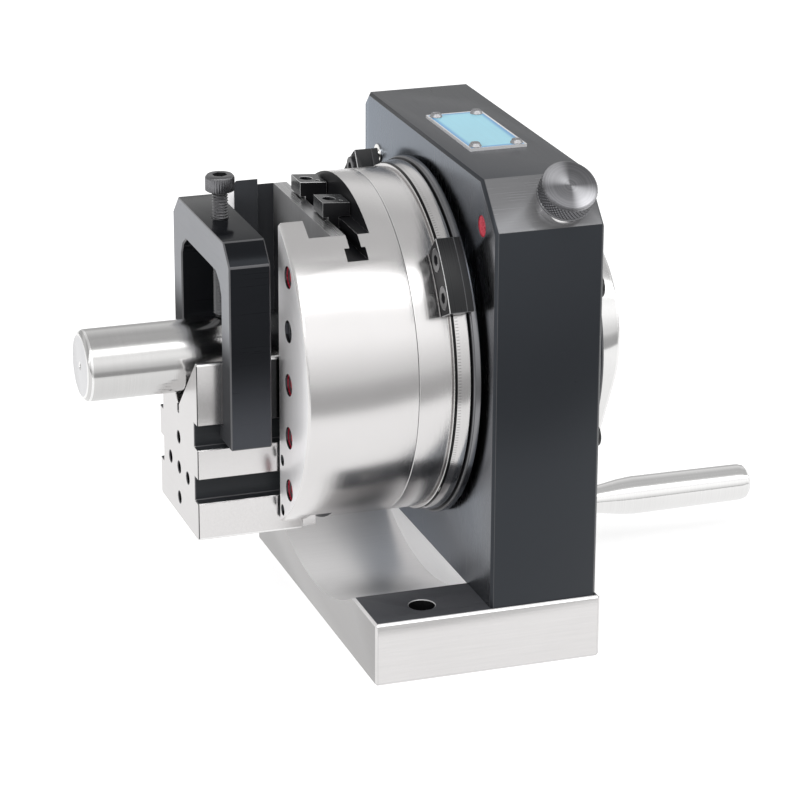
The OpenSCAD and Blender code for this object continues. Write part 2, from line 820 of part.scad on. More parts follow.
module clamp_screw() {
    top = screw_tip + clamp_screw_length;
    clamp_head_r = clamp_screw_d * 0.9;
    color("dimgray")
    translate([screw_x, 0, 0]) difference() {
        union() {
            translate([0, 0, screw_tip + 0.6]) cylinder(h = clamp_screw_length, d = clamp_screw_d, $fn = 32);
            translate([0, 0, screw_tip])
                cylinder(h = 0.6, r1 = clamp_screw_d / 2 - 0.5, r2 = clamp_screw_d / 2, $fn = 32);
            translate([0, 0, top]) cylinder(h = 3.6, r = clamp_head_r);
            translate([0, 0, top + 3.6]) cylinder(h = 0.4, r1 = clamp_head_r, r2 = clamp_head_r - 0.4);
        }
        translate([0, 0, top + 1.8]) cylinder(h = 4, r = 3 / 2 / cos(30), $fn = 6);
    }
}

module punch() {
    p = x_head - punch_out;
    r = punch_d / 2;
    color("lightgray")
    difference() {
        translate([0, 0, zp]) rotate([0, 90, 0]) rotate_extrude($fn = 96)
            polygon([[0, p], [r - 1.1, p], [r, p + 1.1], [r, p + punch_length - 0.5],
                     [r - 0.5, p + punch_length], [0, p + punch_length]]);
        bar(p - 1, p + 1.6, 0.8, 0, zp, 24);
    }
}

module slot_stop(y) {
    front = tee_x + 0.1;
    foot_in = tee_x + 0.3;
    foot_out = tee_x + tee_wide - 0.2;
    foot_low = flat_z - neck_deep - tee_deep + 0.2;
    foot_top = flat_z - neck_deep - 0.1;
    color("dimgray")
    difference() {
        translate([0, y, 0]) rotate([90, 0, 0]) linear_extrude(height = stop_wide, center = true)
            polygon([[foot_in, foot_low], [foot_out, foot_low], [foot_out, foot_top],
                     [neck_x + neck_wide - 0.1, foot_top], [neck_x + neck_wide - 0.1, flat_z + 0.4],
                     [x_flat_back - 0.3, flat_z + 0.4],
                     [x_flat_back - 0.3, flat_z + 3.7], [front, flat_z + 4.2], [front, flat_z + 0.4],
                     [neck_x + 0.1, flat_z + 0.4], [neck_x + 0.1, foot_top], [foot_in, foot_top]]);
        translate([stop_screw_x, y, flat_z - 10]) cylinder(h = 20, r = stop_screw_r, $fn = 24);
        translate([stop_screw_x, y, flat_z + 2.6]) cylinder(h = 5, r = 1.6, $fn = 24);
        translate([stop_screw_x + 2.3, y - 2, flat_z + 2.2]) cylinder(h = 5, r = 0.55, $fn = 24);
    }
}

module slot_screw(y) {
    color("dimgray")
    translate([stop_screw_x, y, flat_z - 4.5]) difference() {
        cylinder(h = 7.6, r = stop_screw_r, $fn = 24);
        translate([0, 0, 6]) cylinder(h = 3, r = 0.75, $fn = 6);
    }
}

// one stop dog body, its centre turned to the given angle
module dog_shape(x0, x1, r0, angle) {
    translate([x0, 0, zr]) rotate([90 - angle, 0, 0]) rotate([0, 90, 0])
        rotate([0, 0, 180 - dog_arc / 2]) rotate_extrude(angle = dog_arc, $fn = 96)
            translate([r0, 0]) square([dog_radius - r0, x1 - x0]);
}

// a pair of round bars through a dog, from a to b
module dog_bars(angle, a, b, r, fn = 24) {
    for (s = [-1, 1])
        translate([a, 0, zr]) rotate([90 - angle + s * dog_screw_step, 0, 0])
            translate([0, 0, dog_circle]) rotate([0, 90, 0]) cylinder(h = b - a, r = r, $fn = fn);
}

module dog(angle) {
    color("dimgray")
    difference() {
        union() {
            dog_shape(dog_front, dog_step, head_radius + dog_gap, angle);
            dog_shape(dog_step, dog_seam, ring_radius + dog_gap, angle);
        }
        dog_bars(angle, -12, 0, m3_thread);
        dog_bars(angle, -12, dog_seam - 2, m3_sink);
    }
}

module dog_keeper(angle) {
    color("dimgray")
    difference() {
        dog_shape(dog_seam, ring_back, ring_radius + dog_gap, angle);
        dog_bars(angle, -12, 0, m3_thread);
    }
}

module dog_screws(angle, out) {
    color("dimgray")
    difference() {
        union() {
            dog_bars(angle, dog_front - 0.1 - out, dog_seam - 2, m3_head);
            dog_bars(angle, dog_seam - 2.2, ring_back - 0.15, m3_thread);
        }
        dog_bars(angle, -12, -8.4 - out, 1.44, 6);
    }
}

module index_pin() {
    color("silver")
    on_pin_axis() union() {
        translate([0, 0, tip_d]) cylinder(h = 0.6, r1 = nose_d / 2 - 0.5, r2 = nose_d / 2, $fn = 32);
        translate([0, 0, tip_d + 0.6]) cylinder(h = 14, r = nose_d / 2, $fn = 32);
        translate([0, 0, tip_d + 13.7]) cylinder(h = 2, r = 3.3, $fn = 32);
        translate([0, 0, tip_d + 15.5]) cylinder(h = knob_top - tip_d - 16.1, r = pin_shank, $fn = 32);
    }
}

module index_knob() {
    k = knob_d / 2;
    color("silver")
    on_pin_axis() difference() {
        rotate_extrude($fn = 64)
            polygon([[0, knob_low], [k - 0.5, knob_low], [k, knob_low + 0.5], [k, knob_top - 0.7],
                     [k - 0.7, knob_top], [0, knob_top]]);
        translate([0, 0, knob_low - 1]) cylinder(h = pin_travel + 1.5, r = collar_r + 0.3);
        translate([0, 0, knob_low - 1]) cylinder(h = knob_length + 0.4, r = pin_shank, $fn = 32);
    }
}

module index_spring() {
    turns = 7;
    low = tip_d + 16.1;
    high = spring_top;
    color("silver")
    on_pin_axis()
        for (i = [0:turns])
            translate([0, 0, low + i * (high - low) / turns])
                rotate_extrude($fn = 32) translate([2.75, 0]) circle(r = 0.35, $fn = 16);
}

base();
housing();
housing_screws();
housing_dowels();
name_plate();
plate_screws();
cover_ring();
cover_screws();
front_bush();
rear_cap();
rear_bush();
cap_screws();
index_bush();
index_collar();
bush_lock_screw();
bush_seal();
oiler();
spindle();
rotor_head();
scale_ring();
ring_screws();
head_screws();
wax_seals();
slide_lock_screws();
index_plate();
index_key();
lock_nut();
crank_arm();
crank_key();
crank_screw();
crank_washer();
crank_handle();
v_block();
slide_plate();
slide_screws();
height_screw();
yoke();
clamp_screw();
punch();
slot_stop(-6.2);  // near_slot_stop
slot_screw(-6.2);  // near_slot_screw
slot_stop(12.4);  // far_slot_stop
slot_screw(12.4);  // far_slot_screw
dog(near_dog_angle);  // near_dog
dog_keeper(near_dog_angle);  // near_dog_keeper
dog_screws(near_dog_angle, 0);  // near_dog_screws
dog(far_dog_angle);  // far_dog
dog_keeper(far_dog_angle);  // far_dog_keeper
dog_screws(far_dog_angle, 0.6);  // far_dog_screws
index_pin();
index_knob();
index_spring();
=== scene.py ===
"""The looks of an indexing punch former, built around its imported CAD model.

Everything is in metres in the frame of the model: X runs along the spindle from the punch to the
crank, Z is up, and the photograph is taken from the -Y side. Sizes named with _mm are millimetres,
and so are the sizes that the classes of the sub-assemblies hold.
"""

import json
import logging
import math
from dataclasses import dataclass
from enum import Enum
from typing import Callable, Sequence

import bmesh
import bpy
from mathutils import Matrix, Vector


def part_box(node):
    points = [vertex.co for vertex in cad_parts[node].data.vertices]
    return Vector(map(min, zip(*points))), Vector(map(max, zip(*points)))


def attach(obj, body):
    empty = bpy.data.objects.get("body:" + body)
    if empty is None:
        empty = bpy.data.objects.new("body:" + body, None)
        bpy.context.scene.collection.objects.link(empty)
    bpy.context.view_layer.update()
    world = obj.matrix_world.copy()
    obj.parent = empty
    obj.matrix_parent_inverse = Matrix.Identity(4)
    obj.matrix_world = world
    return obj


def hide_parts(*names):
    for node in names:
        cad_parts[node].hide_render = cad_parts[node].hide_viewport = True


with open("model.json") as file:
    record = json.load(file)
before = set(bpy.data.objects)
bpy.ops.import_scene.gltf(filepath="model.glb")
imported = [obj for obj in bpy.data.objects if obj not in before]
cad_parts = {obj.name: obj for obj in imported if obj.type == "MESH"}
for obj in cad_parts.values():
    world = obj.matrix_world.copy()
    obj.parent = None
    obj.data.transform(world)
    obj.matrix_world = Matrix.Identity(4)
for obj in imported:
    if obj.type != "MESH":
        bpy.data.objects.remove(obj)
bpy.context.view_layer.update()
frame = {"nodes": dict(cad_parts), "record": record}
log = logging.getLogger("punch_former")

MM = 0.001
Colour = tuple[float, float, float]
Point = tuple[float, float, float]
Outline = tuple[tuple[float, float], ...]
Setting = float | int | str | bool | Sequence
FaceTest = Callable[[Vector, Vector], bool]
PlaceTest = Callable[[Vector], bool]
Reach = Callable[[float], float]
Ring = tuple[float, Reach, int]

BACKWARD: Point = (1.0, 0.0, 0.0)
FORWARD: Point = (-1.0, 0.0, 0.0)
UP: Point = (0.0, 0.0, 1.0)
DOWN: Point = (0.0, 0.0, -1.0)
ORIGIN: Point = (0.0, 0.0, 0.0)

# how meshes are cleaned: points merged, faces taken as one plane, and the shortest edge that is broken
MERGED_WITHIN = 0.001 * MM
FLAT_WITHIN_DEGREES = 0.4
SHORTEST_BROKEN = 0.02 * MM

# how wide the edges of small pieces are broken
FINE_EDGE_MM = 0.1
SMALL_EDGE_MM = 0.12

# the part of a normal along a direction: of a face that looks that way, of a 45 degree slope at the
# least, and of a face that runs along the direction at the most
FACING = 0.9
SLOPING = 0.6
RUNNING = 0.5

# how near the middle of a face is to the plane that it lies in
IN_PLANE_MM = 0.1

RECORD = frame["record"]
BODY_OF = {node: body for body, nodes in RECORD["behaviour"]["bodies"].items() for node in nodes}


@dataclass(frozen=True)
class Axis:
    """A line that a piece is turned about, by a point on it and its direction."""

    point: Point
    way: Point

    @classmethod
    def through(cls, node: str, way: Point) -> "Axis":
        """The line of that direction through the middle of a node."""
        low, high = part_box(node)
        return cls(tuple((low + high) / 2), way)


SPINDLE = Axis.through("rotor_head", BACKWARD)
PUNCH = Axis.through("punch", BACKWARD)
HANDLE = Axis.through("crank_handle", BACKWARD)
CLAMP = Axis((*Axis.through("clamp_screw", UP).point[:2], 0.0), UP)
PIN = Axis.through("index_knob", (0.0, -math.sqrt(0.5), math.sqrt(0.5)))


class Lay(Enum):
    """The way that the fine tool marks of a surface run, as a stretch of the noise that makes them."""

    ALONG_X = (0.03, 1.0, 1.0)
    ALONG_Y = (1.0, 0.03, 1.0)
    ALONG_Z = (1.0, 1.0, 0.03)
    EVEN = (1.0, 1.0, 1.0)
    ROUND = (0.0, 0.0, 0.0)


class Wire:
    """A shader socket that arithmetic works on, so that a finish reads as a formula."""

    def __init__(self, graph: "Graph", socket: bpy.types.NodeSocket) -> None:
        """Keeps the socket and the graph it belongs to."""
        self.graph = graph
        self.socket = socket

    def _maths(self, operation: str, first: "Wire | float", second: "Wire | float") -> "Wire":
        """Adds one Math node and gives its result."""
        return self.graph.node("ShaderNodeMath", {"operation": operation}, {0: first, 1: second})

    def __add__(self, other: "Wire | float") -> "Wire":
        """The sum."""
        return self._maths("ADD", self, other)

    __radd__ = __add__

    def __sub__(self, other: "Wire | float") -> "Wire":
        """The difference."""
        return self._maths("SUBTRACT", self, other)

    def __rsub__(self, other: "Wire | float") -> "Wire":
        """The difference, with the number first."""
        return self._maths("SUBTRACT", other, self)

    def __mul__(self, other: "Wire | float") -> "Wire":
        """The product."""
        return self._maths("MULTIPLY", self, other)

    __rmul__ = __mul__

    def __truediv__(self, other: "Wire | float") -> "Wire":
        """The quotient."""
        return self._maths("DIVIDE", self, other)

    def part(self) -> "Wire":
        """The part after the decimal point."""
        return self._maths("FRACT", self, 0.0)

    def size(self) -> "Wire":
        """The value without its sign."""
        return self._maths("ABSOLUTE", self, 0.0)

    def clipped(self) -> "Wire":
        """The value held between 0 and 1."""
        return self.graph.node("ShaderNodeClamp", {}, {"Value": self})

    def over(self, start: float, end: float) -> "Wire":
        """0 below start and 1 above end, with a smooth rise between them."""
        return self.graph.node(
            "ShaderNodeMapRange", {"interpolation_type": "SMOOTHSTEP"},
            {"Value": self, "From Min": start, "From Max": end})

    def swing(self, width: float) -> "Wire":
        """A swing of that width about 0, from a value that swings about its middle from 0 to 1."""
        return (self - 0.5) * width

    def between(self, start: float, end: float, fade: float) -> "Wire":
        """1 between the two values and 0 outside them, with a rise and a fall of the given width."""
        return self.over(start - fade, start) * (1.0 - self.over(end, end + fade))


class Graph:
    """The node tree of one material or of the world."""

    def __init__(self, tree: bpy.types.NodeTree) -> None:
        """Takes the tree over and empties it."""
        self.tree = tree
        tree.nodes.clear()

    def node(self, kind: str, settings: dict[str, Setting], inputs: dict[int | str, object],
             output: int | str = 0) -> Wire | None:
        """Adds one node.

        Args:
            kind: the node's type.
            settings: its own settings, set first. "stops" holds a ramp's (place, colour) pairs.
            inputs: the value or the Wire of each input socket, by name or number.
            output: which output is wanted.

        Returns:
            The output as a Wire, or nothing for a node that ends the tree.
        """
        made = self.tree.nodes.new(kind)
        for name, value in settings.items():
            if name == "stops":
                self._set_stops(made.color_ramp, value)
            else:
                setattr(made, name, value)
        for key, value in inputs.items():
            if isinstance(value, Wire):
                self.tree.links.new(value.socket, made.inputs[key])
            else:
                made.inputs[key].default_value = value
        return Wire(self, made.outputs[output]) if made.outputs else None

    @staticmethod
    def _set_stops(ramp: bpy.types.ColorRamp, stops: Sequence[tuple[float, Colour]]) -> None:
        """Gives a ramp its stops.

        Args:
            ramp: the ramp, which has two stops at first.
            stops: the place from 0 to 1 and the colour of each.
        """
        while len(ramp.elements) < len(stops):
            ramp.elements.new(0.5)
        for element, (place, colour) in zip(ramp.elements, stops):
            element.position = place
            element.color = (*colour, 1.0)

    def place(self) -> Wire:
        """The point of the surface in the model's frame, in metres."""
        return self.node("ShaderNodeTexCoord", {}, {}, "Object")

    def parts(self, vector: Wire) -> tuple[Wire, Wire, Wire]:
        """The three parts of a vector."""
        split = self.node("ShaderNodeSeparateXYZ", {}, {0: vector}).socket.node
        return tuple(Wire(self, socket) for socket in split.outputs)

    def vector(self, operation: str, first: object, second: object) -> Wire:
        """A vector from one Vector Math node."""
        return self.node("ShaderNodeVectorMath", {"operation": operation}, {0: first, 1: second})

    def measure(self, operation: str, first: object, second: object) -> Wire:
        """A number from one Vector Math node, such as a length."""
        return self.node(
            "ShaderNodeVectorMath", {"operation": operation}, {0: first, 1: second}, "Value")

    def round_about(self, axis: Axis) -> tuple[Wire, Wire]:
        """Finds where the point of the surface is beside an axis.

        Args:
            axis: the line.

        Returns:
            How far along the axis the point is, and how far from it.
        """
        arm = self.vector("SUBTRACT", self.place(), axis.point)
        along = self.measure("DOT_PRODUCT", arm, axis.way)
        off = self.measure("LENGTH", self.vector("CROSS_PRODUCT", arm, axis.way), ORIGIN)
        return along, off

    def noise(self, vector: Wire, scale: float, detail: float) -> Wire:
        """Soft noise from 0 to 1."""
        return self.node("ShaderNodeTexNoise", {}, {"Vector": vector, "Scale": scale, "Detail": detail})

    def mix(self, share: Wire | float, first: object, second: object) -> Wire:
        """Two colours mixed by a share."""
        return self.node(
            "ShaderNodeMix", {"data_type": "RGBA"},
            {0: share, 6: rgba(first), 7: rgba(second)}, 2)


def rgba(colour: object) -> object:
    """A colour with its alpha, or the Wire as it is."""
    return colour if isinstance(colour, Wire) else (*colour, 1.0)


def new_material(name: str) -> tuple[bpy.types.Material, Graph]:
    """Makes a material.

    Args:
        name: its name.

    Returns:
        The material and its empty graph.
    """
    material = bpy.data.materials.new(name)
    material.use_nodes = True
    return material, Graph(material.node_tree)


WHITE = rgba((1.0, 1.0, 1.0))

# how fine the noise of marks and of clouds is, and how much the marks change the roughness
MARK_DETAIL = 2.0
CLOUD_DETAIL = 4.0
MARK_ROUGHNESS = 1.2


def shade(colour: Colour, factor: float) -> Colour:
    """The colour made darker or lighter by a factor."""
    return tuple(min(1.0, c * factor) for c in colour)


@dataclass(frozen=True)
class Finish:
    """A metal, paint or wax finish, made as one material of the same name.

    The marks are fine streaks along the lay, and the relief is their depth in millimetres. The
    clouds are soft patches where the surface was handled, oiled or blackened a little more.
    """

    name: str
    colour: Colour
    metal: float = 1.0
    roughness: float = 0.2
    lay: Lay = Lay.EVEN
    axis: Axis = SPINDLE
    marks: float = 0.05
    mark_scale: float = 2500.0
    relief: float = 0.004
    clouds: float = 0.05
    cloud_scale: float = 45.0
    shine: float = 0.5
    tint: Colour = (1.0, 1.0, 1.0)

    def grain(self, graph: Graph) -> Wire:
        """Makes the fine marks of the surface.

        Args:
            graph: the material's nodes.

        Returns:
            The marks, from 0 to 1.
        """
        if self.lay is Lay.ROUND:
            along, off = graph.round_about(self.axis)
            at = graph.node("ShaderNodeCombineXYZ", {}, {0: along, 1: off})
        else:
            at = graph.vector("MULTIPLY", graph.place(), self.lay.value)
        return graph.noise(at, self.mark_scale, MARK_DETAIL)

    def build(self) -> bpy.types.Material:
        """Makes the material, once.

        Returns:
            The material, or the one that was made before.
        """
        known = bpy.data.materials.get(self.name)
        if known:
            return known
        material, graph = new_material(self.name)
        grain = self.grain(graph)
        cloud = graph.noise(graph.place(), self.cloud_scale, CLOUD_DETAIL)
        rough = self.roughness + grain.swing(self.marks * MARK_ROUGHNESS) + cloud.swing(self.clouds)
        bump = graph.node(
            "ShaderNodeBump", {}, {"Strength": 1.0, "Distance": self.relief * MM, "Height": grain})
        surface = graph.node(
            "ShaderNodeBsdfPrincipled", {},
            {"Base Color": self.paint(graph, grain, cloud), "Metallic": self.metal,
             "Roughness": rough.clipped(), "Specular IOR Level": self.shine,
             "Specular Tint": rgba(self.tint), "Normal": bump})
        graph.node("ShaderNodeOutputMaterial", {}, {"Surface": surface})
        return material

    def paint(self, graph: Graph, grain: Wire, cloud: Wire) -> Wire:
        """Makes the colour a little lighter and darker along the marks and in the clouds.

        Args:
            graph: the material's nodes.
            grain: the marks, from 0 to 1.
            cloud: the clouds, from 0 to 1.

        Returns:
            The colour.
        """
        swing = self.marks + self.clouds
        darker, lighter = shade(self.colour, 1.0 - swing), shade(self.colour, 1.0 + swing)
        return graph.mix(grain * 0.5 + cloud * 0.5, darker, lighter)


@dataclass(frozen=True)
class Graduated(Finish):
    """A turned ring with a groove at its front and a fine line engraved at every degree beside it."""

    groove: float = -7.72 * MM
    groove_wide: float = 0.62 * MM
    end: float = -6.2 * MM
    line_clear: float = 0.2 * MM
    line_share: float = 0.08
    line_blur: float = 2.2
    line_dark: float = 0.35
    fade: float = 0.05 * MM
    line_colour: Colour = (0.03, 0.03, 0.03)
    groove_colour: Colour = (0.02, 0.02, 0.02)

    def paint(self, graph: Graph, grain: Wire, cloud: Wire) -> Wire:
        """Draws the dark lines on the steel.

        Args:
            graph: the material's nodes.
            grain: the marks, from 0 to 1.
            cloud: the clouds, from 0 to 1.

        Returns:
            The colour.
        """
        x, y, z = graph.parts(graph.vector("SUBTRACT", graph.place(), (0.0, *self.axis.point[1:])))
        angle = graph.node("ShaderNodeMath", {"operation": "ARCTAN2"}, {0: z, 1: y})
        away = ((angle * (180.0 / math.pi)).part() - 0.5).size()
        back = self.groove + self.groove_wide
        thin = 1.0 - away.over(self.line_share, self.line_share * self.line_blur)
        line = thin * x.between(back + self.line_clear, self.end, self.fade)
        cut = x.between(self.groove, back, self.fade)
        marked = graph.mix(line * self.line_dark, super().paint(graph, grain, cloud), self.line_colour)
        return graph.mix(cut, marked, self.groove_colour)


@dataclass(frozen=True)
class Patched(Finish):
    """A dull turned hollow with a soft darker patch."""

    patch: Point = (-14.0 * MM, -14.0 * MM, 9.0 * MM)
    reach: float = 15.0 * MM
    core: float = 0.1
    waver: float = 12.0 * MM
    strength: float = 0.75
    patch_colour: Colour = (0.3, 0.3, 0.305)

    def paint(self, graph: Graph, grain: Wire, cloud: Wire) -> Wire:
        """Lays the patch on the steel.

        Args:
            graph: the material's nodes.
            grain: the marks, from 0 to 1.
            cloud: the clouds, from 0 to 1.

        Returns:
            The colour.
        """
        off = graph.measure("DISTANCE", graph.place(), self.patch)
        uneven = off + cloud.swing(self.waver)
        share = 1.0 - uneven.over(self.core * self.reach, self.reach)
        return graph.mix(share * self.strength, super().paint(graph, grain, cloud), self.patch_colour)


@dataclass(frozen=True)
class Faded(Finish):
    """A finish that turns into another colour along a line; on the V-block's flanks, the yoke's flanks and
    the back of the upright slot this is painted light and shade.
    """

    way: Point = UP
    start: float = 0.0
    end: float = 1.0
    far_colour: Colour = (0.05, 0.05, 0.05)

    def paint(self, graph: Graph, grain: Wire, cloud: Wire) -> Wire:
        """Keeps the finish's own colour up to start, and gives the far colour from end on.

        Args:
            graph: the material's nodes.
            grain: the marks, from 0 to 1.
            cloud: the clouds, from 0 to 1.

        Returns:
            The colour.
        """
        along = graph.measure("DOT_PRODUCT", graph.place(), self.way)
        near = super().paint(graph, grain, cloud)
        return graph.mix(along.over(self.start, self.end), near, self.far_colour)


@dataclass(frozen=True)
class HighlightCones(Finish):
    """A faced end with a painted highlight in two opposite cones, where its turning marks would send the
    light back.
    """

    unlit_colour: Colour = (0.08, 0.08, 0.085)
    aim: float = 0.0
    opening: tuple[float, float] = (0.6, 1.03)
    cone_share: float = 0.85
    grain_share: float = 0.3
    spot: float = 0.1 * MM

    def paint(self, graph: Graph, grain: Wire, cloud: Wire) -> Wire:
        """Paints the steel's colour in the highlight cones, and a darker colour between them as painted
        shade.

        Args:
            graph: the material's nodes.
            grain: the marks, from 0 to 1.
            cloud: the clouds, from 0 to 1.

        Returns:
            The colour.
        """
        arm = graph.vector("SUBTRACT", graph.place(), self.axis.point)
        _, off = graph.round_about(self.axis)
        start = Vector(BACKWARD)
        across = Vector(self.axis.way).cross(start)
        aim = start * math.cos(self.aim) + across * math.sin(self.aim)
        turned = graph.measure("DOT_PRODUCT", arm, tuple(aim)).size() / (off + self.spot)
        share = turned.over(*self.opening) * self.cone_share + grain * self.grain_share
        return graph.mix(share.clipped(), self.unlit_colour, super().paint(graph, grain, cloud))


@dataclass(frozen=True)
class Enamelled(Finish):
    """The coloured field of the bare name plate, deeper blue towards its edges."""

    middle: Point = ORIGIN
    half: tuple[float, float] = (5.0 * MM, 14.0 * MM)
    margin: float = 1.4 * MM
    waver: float = 1.0 * MM
    rim_strength: float = 0.8
    rim_colour: Colour = (0.1, 0.32, 0.66)

    def paint(self, graph: Graph, grain: Wire, cloud: Wire) -> Wire:
        """Lays the rim's darker blue round the light blue.

        Args:
            graph: the material's nodes.
            grain: the marks, from 0 to 1.
            cloud: the clouds, from 0 to 1.

        Returns:
            The colour.
        """
        x, y, _ = graph.parts(graph.vector("SUBTRACT", graph.place(), self.middle))
        edge, end = ((wire.size() + cloud.swing(self.waver)).over(half - self.margin, half)
                     for wire, half in zip((x, y), self.half))
        rim = (edge + end).clipped()
        return graph.mix(rim * self.rim_strength, super().paint(graph, grain, cloud), self.rim_colour)


# bright steel
STEEL: Colour = (0.745, 0.73, 0.727)
GROUND_X = Finish("ground_along_x", STEEL, roughness=0.2, lay=Lay.ALONG_X, marks=0.03, relief=0.002)
GROUND_Y = Finish("ground_along_y", STEEL, roughness=0.2, lay=Lay.ALONG_Y)
# the base's front: a darker copy of the ground steel, painted shade
FRONT_GROUND_SHADED = Finish("ground_front_painted_shade", shade(STEEL, 0.55), roughness=0.32, lay=Lay.ALONG_Y, marks=0.07)
END_WALL = Finish("ground_end_wall", (0.96, 0.96, 0.98), metal=0.1, roughness=0.3, lay=Lay.ALONG_Y)
TROUGH = Patched(
    "ground_trough", (0.84, 0.83, 0.83), metal=0.88, roughness=0.3, lay=Lay.ALONG_X, marks=0.03,
    relief=0.002)
TURNED = Finish(
    "turned_head", STEEL, roughness=0.21, lay=Lay.ROUND, mark_scale=5200.0, relief=0.024)
TURNED_FACE = Finish(
    "turned_face", (0.88, 0.87, 0.88), metal=0.6, roughness=0.42, lay=Lay.ROUND, mark_scale=4200.0,
    relief=0.006)
TURNED_RING = Graduated(
    "turned_scale_ring", shade(STEEL, 0.88), roughness=0.17, lay=Lay.ROUND, mark_scale=5200.0,
    relief=0.01)
TURNED_COVER = Finish(
    "turned_cover", (0.24, 0.24, 0.25), roughness=0.22, lay=Lay.ROUND, mark_scale=5200.0, relief=0.01)
TURNED_PUNCH = Finish(
    "turned_punch", (0.63, 0.625, 0.62), roughness=0.14, lay=Lay.ROUND, axis=PUNCH, mark_scale=6000.0,
    relief=0.01)
PUNCH_END = Finish(
    "turned_punch_end", (0.69, 0.69, 0.7), roughness=0.34, lay=Lay.ROUND, axis=PUNCH, mark_scale=5000.0)
POLISHED = Finish("polished_arm", (0.8, 0.795, 0.79), roughness=0.12, lay=Lay.ALONG_Z, marks=0.02)
POLISHED_HANDLE = Finish(
    "polished_handle", (0.8, 0.795, 0.79), roughness=0.1, lay=Lay.ROUND, axis=HANDLE, mark_scale=5000.0)
POLISHED_COLLAR = Finish(
    "polished_collar", (0.84, 0.83, 0.83), roughness=0.14, lay=Lay.ROUND, axis=PIN, mark_scale=5000.0)
# the knob's top: two cones of painted highlight, with painted shade between them
KNOB_TOP = HighlightCones(
    "turned_knob_top_painted_highlight", (0.5, 0.5, 0.52), roughness=0.38, lay=Lay.ROUND, axis=PIN, mark_scale=3600.0,
    marks=0.12, relief=0.02, aim=math.radians(-50.0))
KNURLED = Finish("knurled_side", (0.18, 0.18, 0.19), roughness=0.24, marks=0.1)
BRIGHT_EDGE = Finish("bright_edge", (0.88, 0.875, 0.87), roughness=0.24, marks=0.03)
BASE_EDGE = Finish("base_edge", (0.33, 0.33, 0.33), roughness=0.42, marks=0.05)
LAND = Finish("worn_slot_land", (0.6, 0.6, 0.605), roughness=0.3, lay=Lay.ALONG_Y, marks=0.1, clouds=0.2)
# the head's broken edges: near-white, a painted highlight
LIT_EDGE = Finish("painted_highlight_edge", (0.97, 0.965, 0.96), metal=0.1, roughness=0.3, marks=0.03)
VEE_FRONT = Finish("ground_vee_front", shade(STEEL, 0.93), roughness=0.34, lay=Lay.ALONG_Y)
# the V-block's flanks: ground steel that turns dark past the yoke's front, painted shade
VEE_SIDE_SHADED = Faded(
    "ground_vee_side_painted_shade", STEEL, roughness=0.2, lay=Lay.ALONG_Y, way=BACKWARD, start=-48.2 * MM,
    end=-47.4 * MM, far_colour=(0.05, 0.05, 0.052))
KNOB_BAND = Finish("knob_band", (0.25, 0.25, 0.26), roughness=0.25, lay=Lay.ROUND, axis=PIN)
SPRING = Finish("spring_steel", (0.55, 0.55, 0.56), roughness=0.25)
OIL_BALL = Finish("oiler_ball", (0.85, 0.84, 0.82), roughness=0.1)
PLATE = Finish("bare_plate", (0.86, 0.86, 0.87), metal=0.5, roughness=0.3, lay=Lay.ALONG_Y)
PLATE_SCREW = Finish("plate_screw", (0.36, 0.36, 0.37), metal=0.9, roughness=0.34)
ENAMEL_BLUE: Colour = (0.4, 0.76, 0.9)

# blackened steel, and where it is rubbed
BLUISH: Colour = (0.84, 0.91, 1.0)
BLACK = Finish(
    "blackened_steel", (0.01, 0.011, 0.0135), metal=0.0, roughness=0.3, lay=Lay.ALONG_Y, marks=0.06,
    clouds=0.04, tint=BLUISH)
# the housing's top: a lighter copy of the blackened steel, painted light
BLACK_TOP_LIT = Finish(
    "blackened_top_painted_light", (0.032, 0.033, 0.037), metal=0.0, roughness=0.3, lay=Lay.ALONG_Y, marks=0.06,
    clouds=0.1, tint=BLUISH)
BLACK_WALL = Finish(
    "blackened_slot_wall", (0.05, 0.052, 0.057), metal=0.0, roughness=0.35, lay=Lay.ALONG_Z, marks=0.08,
    clouds=0.1, tint=BLUISH)
BLACK_STOP = Finish(
    "blackened_stop", (0.028, 0.029, 0.031), metal=0.0, roughness=0.25, lay=Lay.ALONG_Y, marks=0.08,
    clouds=0.1, shine=0.9)
BLACK_DOG = Finish(
    "blackened_dog", (0.01, 0.0105, 0.0115), metal=0.0, roughness=0.28, lay=Lay.ROUND, mark_scale=4000.0,
    marks=0.08, clouds=0.1, shine=0.24)
BLACK_DOG_FRONT = Finish(
    "blackened_dog_front", (0.012, 0.012, 0.013), metal=0.0, roughness=0.4, marks=0.1, shine=0.04)
# the housing's front and near bevel: lighter, shinier copies of the blackened steel, a painted sheen
BLACK_FRONT_LIT = Finish(
    "blackened_front_painted_sheen", (0.195, 0.197, 0.205), metal=1.0, roughness=0.26, lay=Lay.ALONG_Z, marks=0.06,
    clouds=0.1, tint=BLUISH)
BLACK_BEVEL_LIT = Finish(
    "blackened_bevel_painted_sheen", (0.19, 0.19, 0.195), metal=0.3, roughness=0.26, lay=Lay.ALONG_X, marks=0.08,
    clouds=0.08, shine=0.3, tint=BLUISH)
BLACK_LEDGE = Finish(
    "blackened_ledge", (0.05, 0.051, 0.056), metal=0.0, roughness=0.5, lay=Lay.ALONG_X, marks=0.08,
    clouds=0.12, shine=0.4, tint=BLUISH)
YOKE_BLACK = Finish(
    "blackened_yoke", (0.007, 0.0075, 0.009), metal=0.0, roughness=0.13, lay=Lay.ALONG_Y, marks=0.06,
    clouds=0.1, shine=0.14, tint=BLUISH)
BLACK_EDGE = Finish("worn_black_edge", (0.09, 0.09, 0.095), metal=0.3, roughness=0.35, marks=0.1)
BLACK_SLOT = Finish(
    "blackened_slot", (0.007, 0.007, 0.008), metal=0.0, roughness=0.4, marks=0.08, clouds=0.1, shine=0.2)
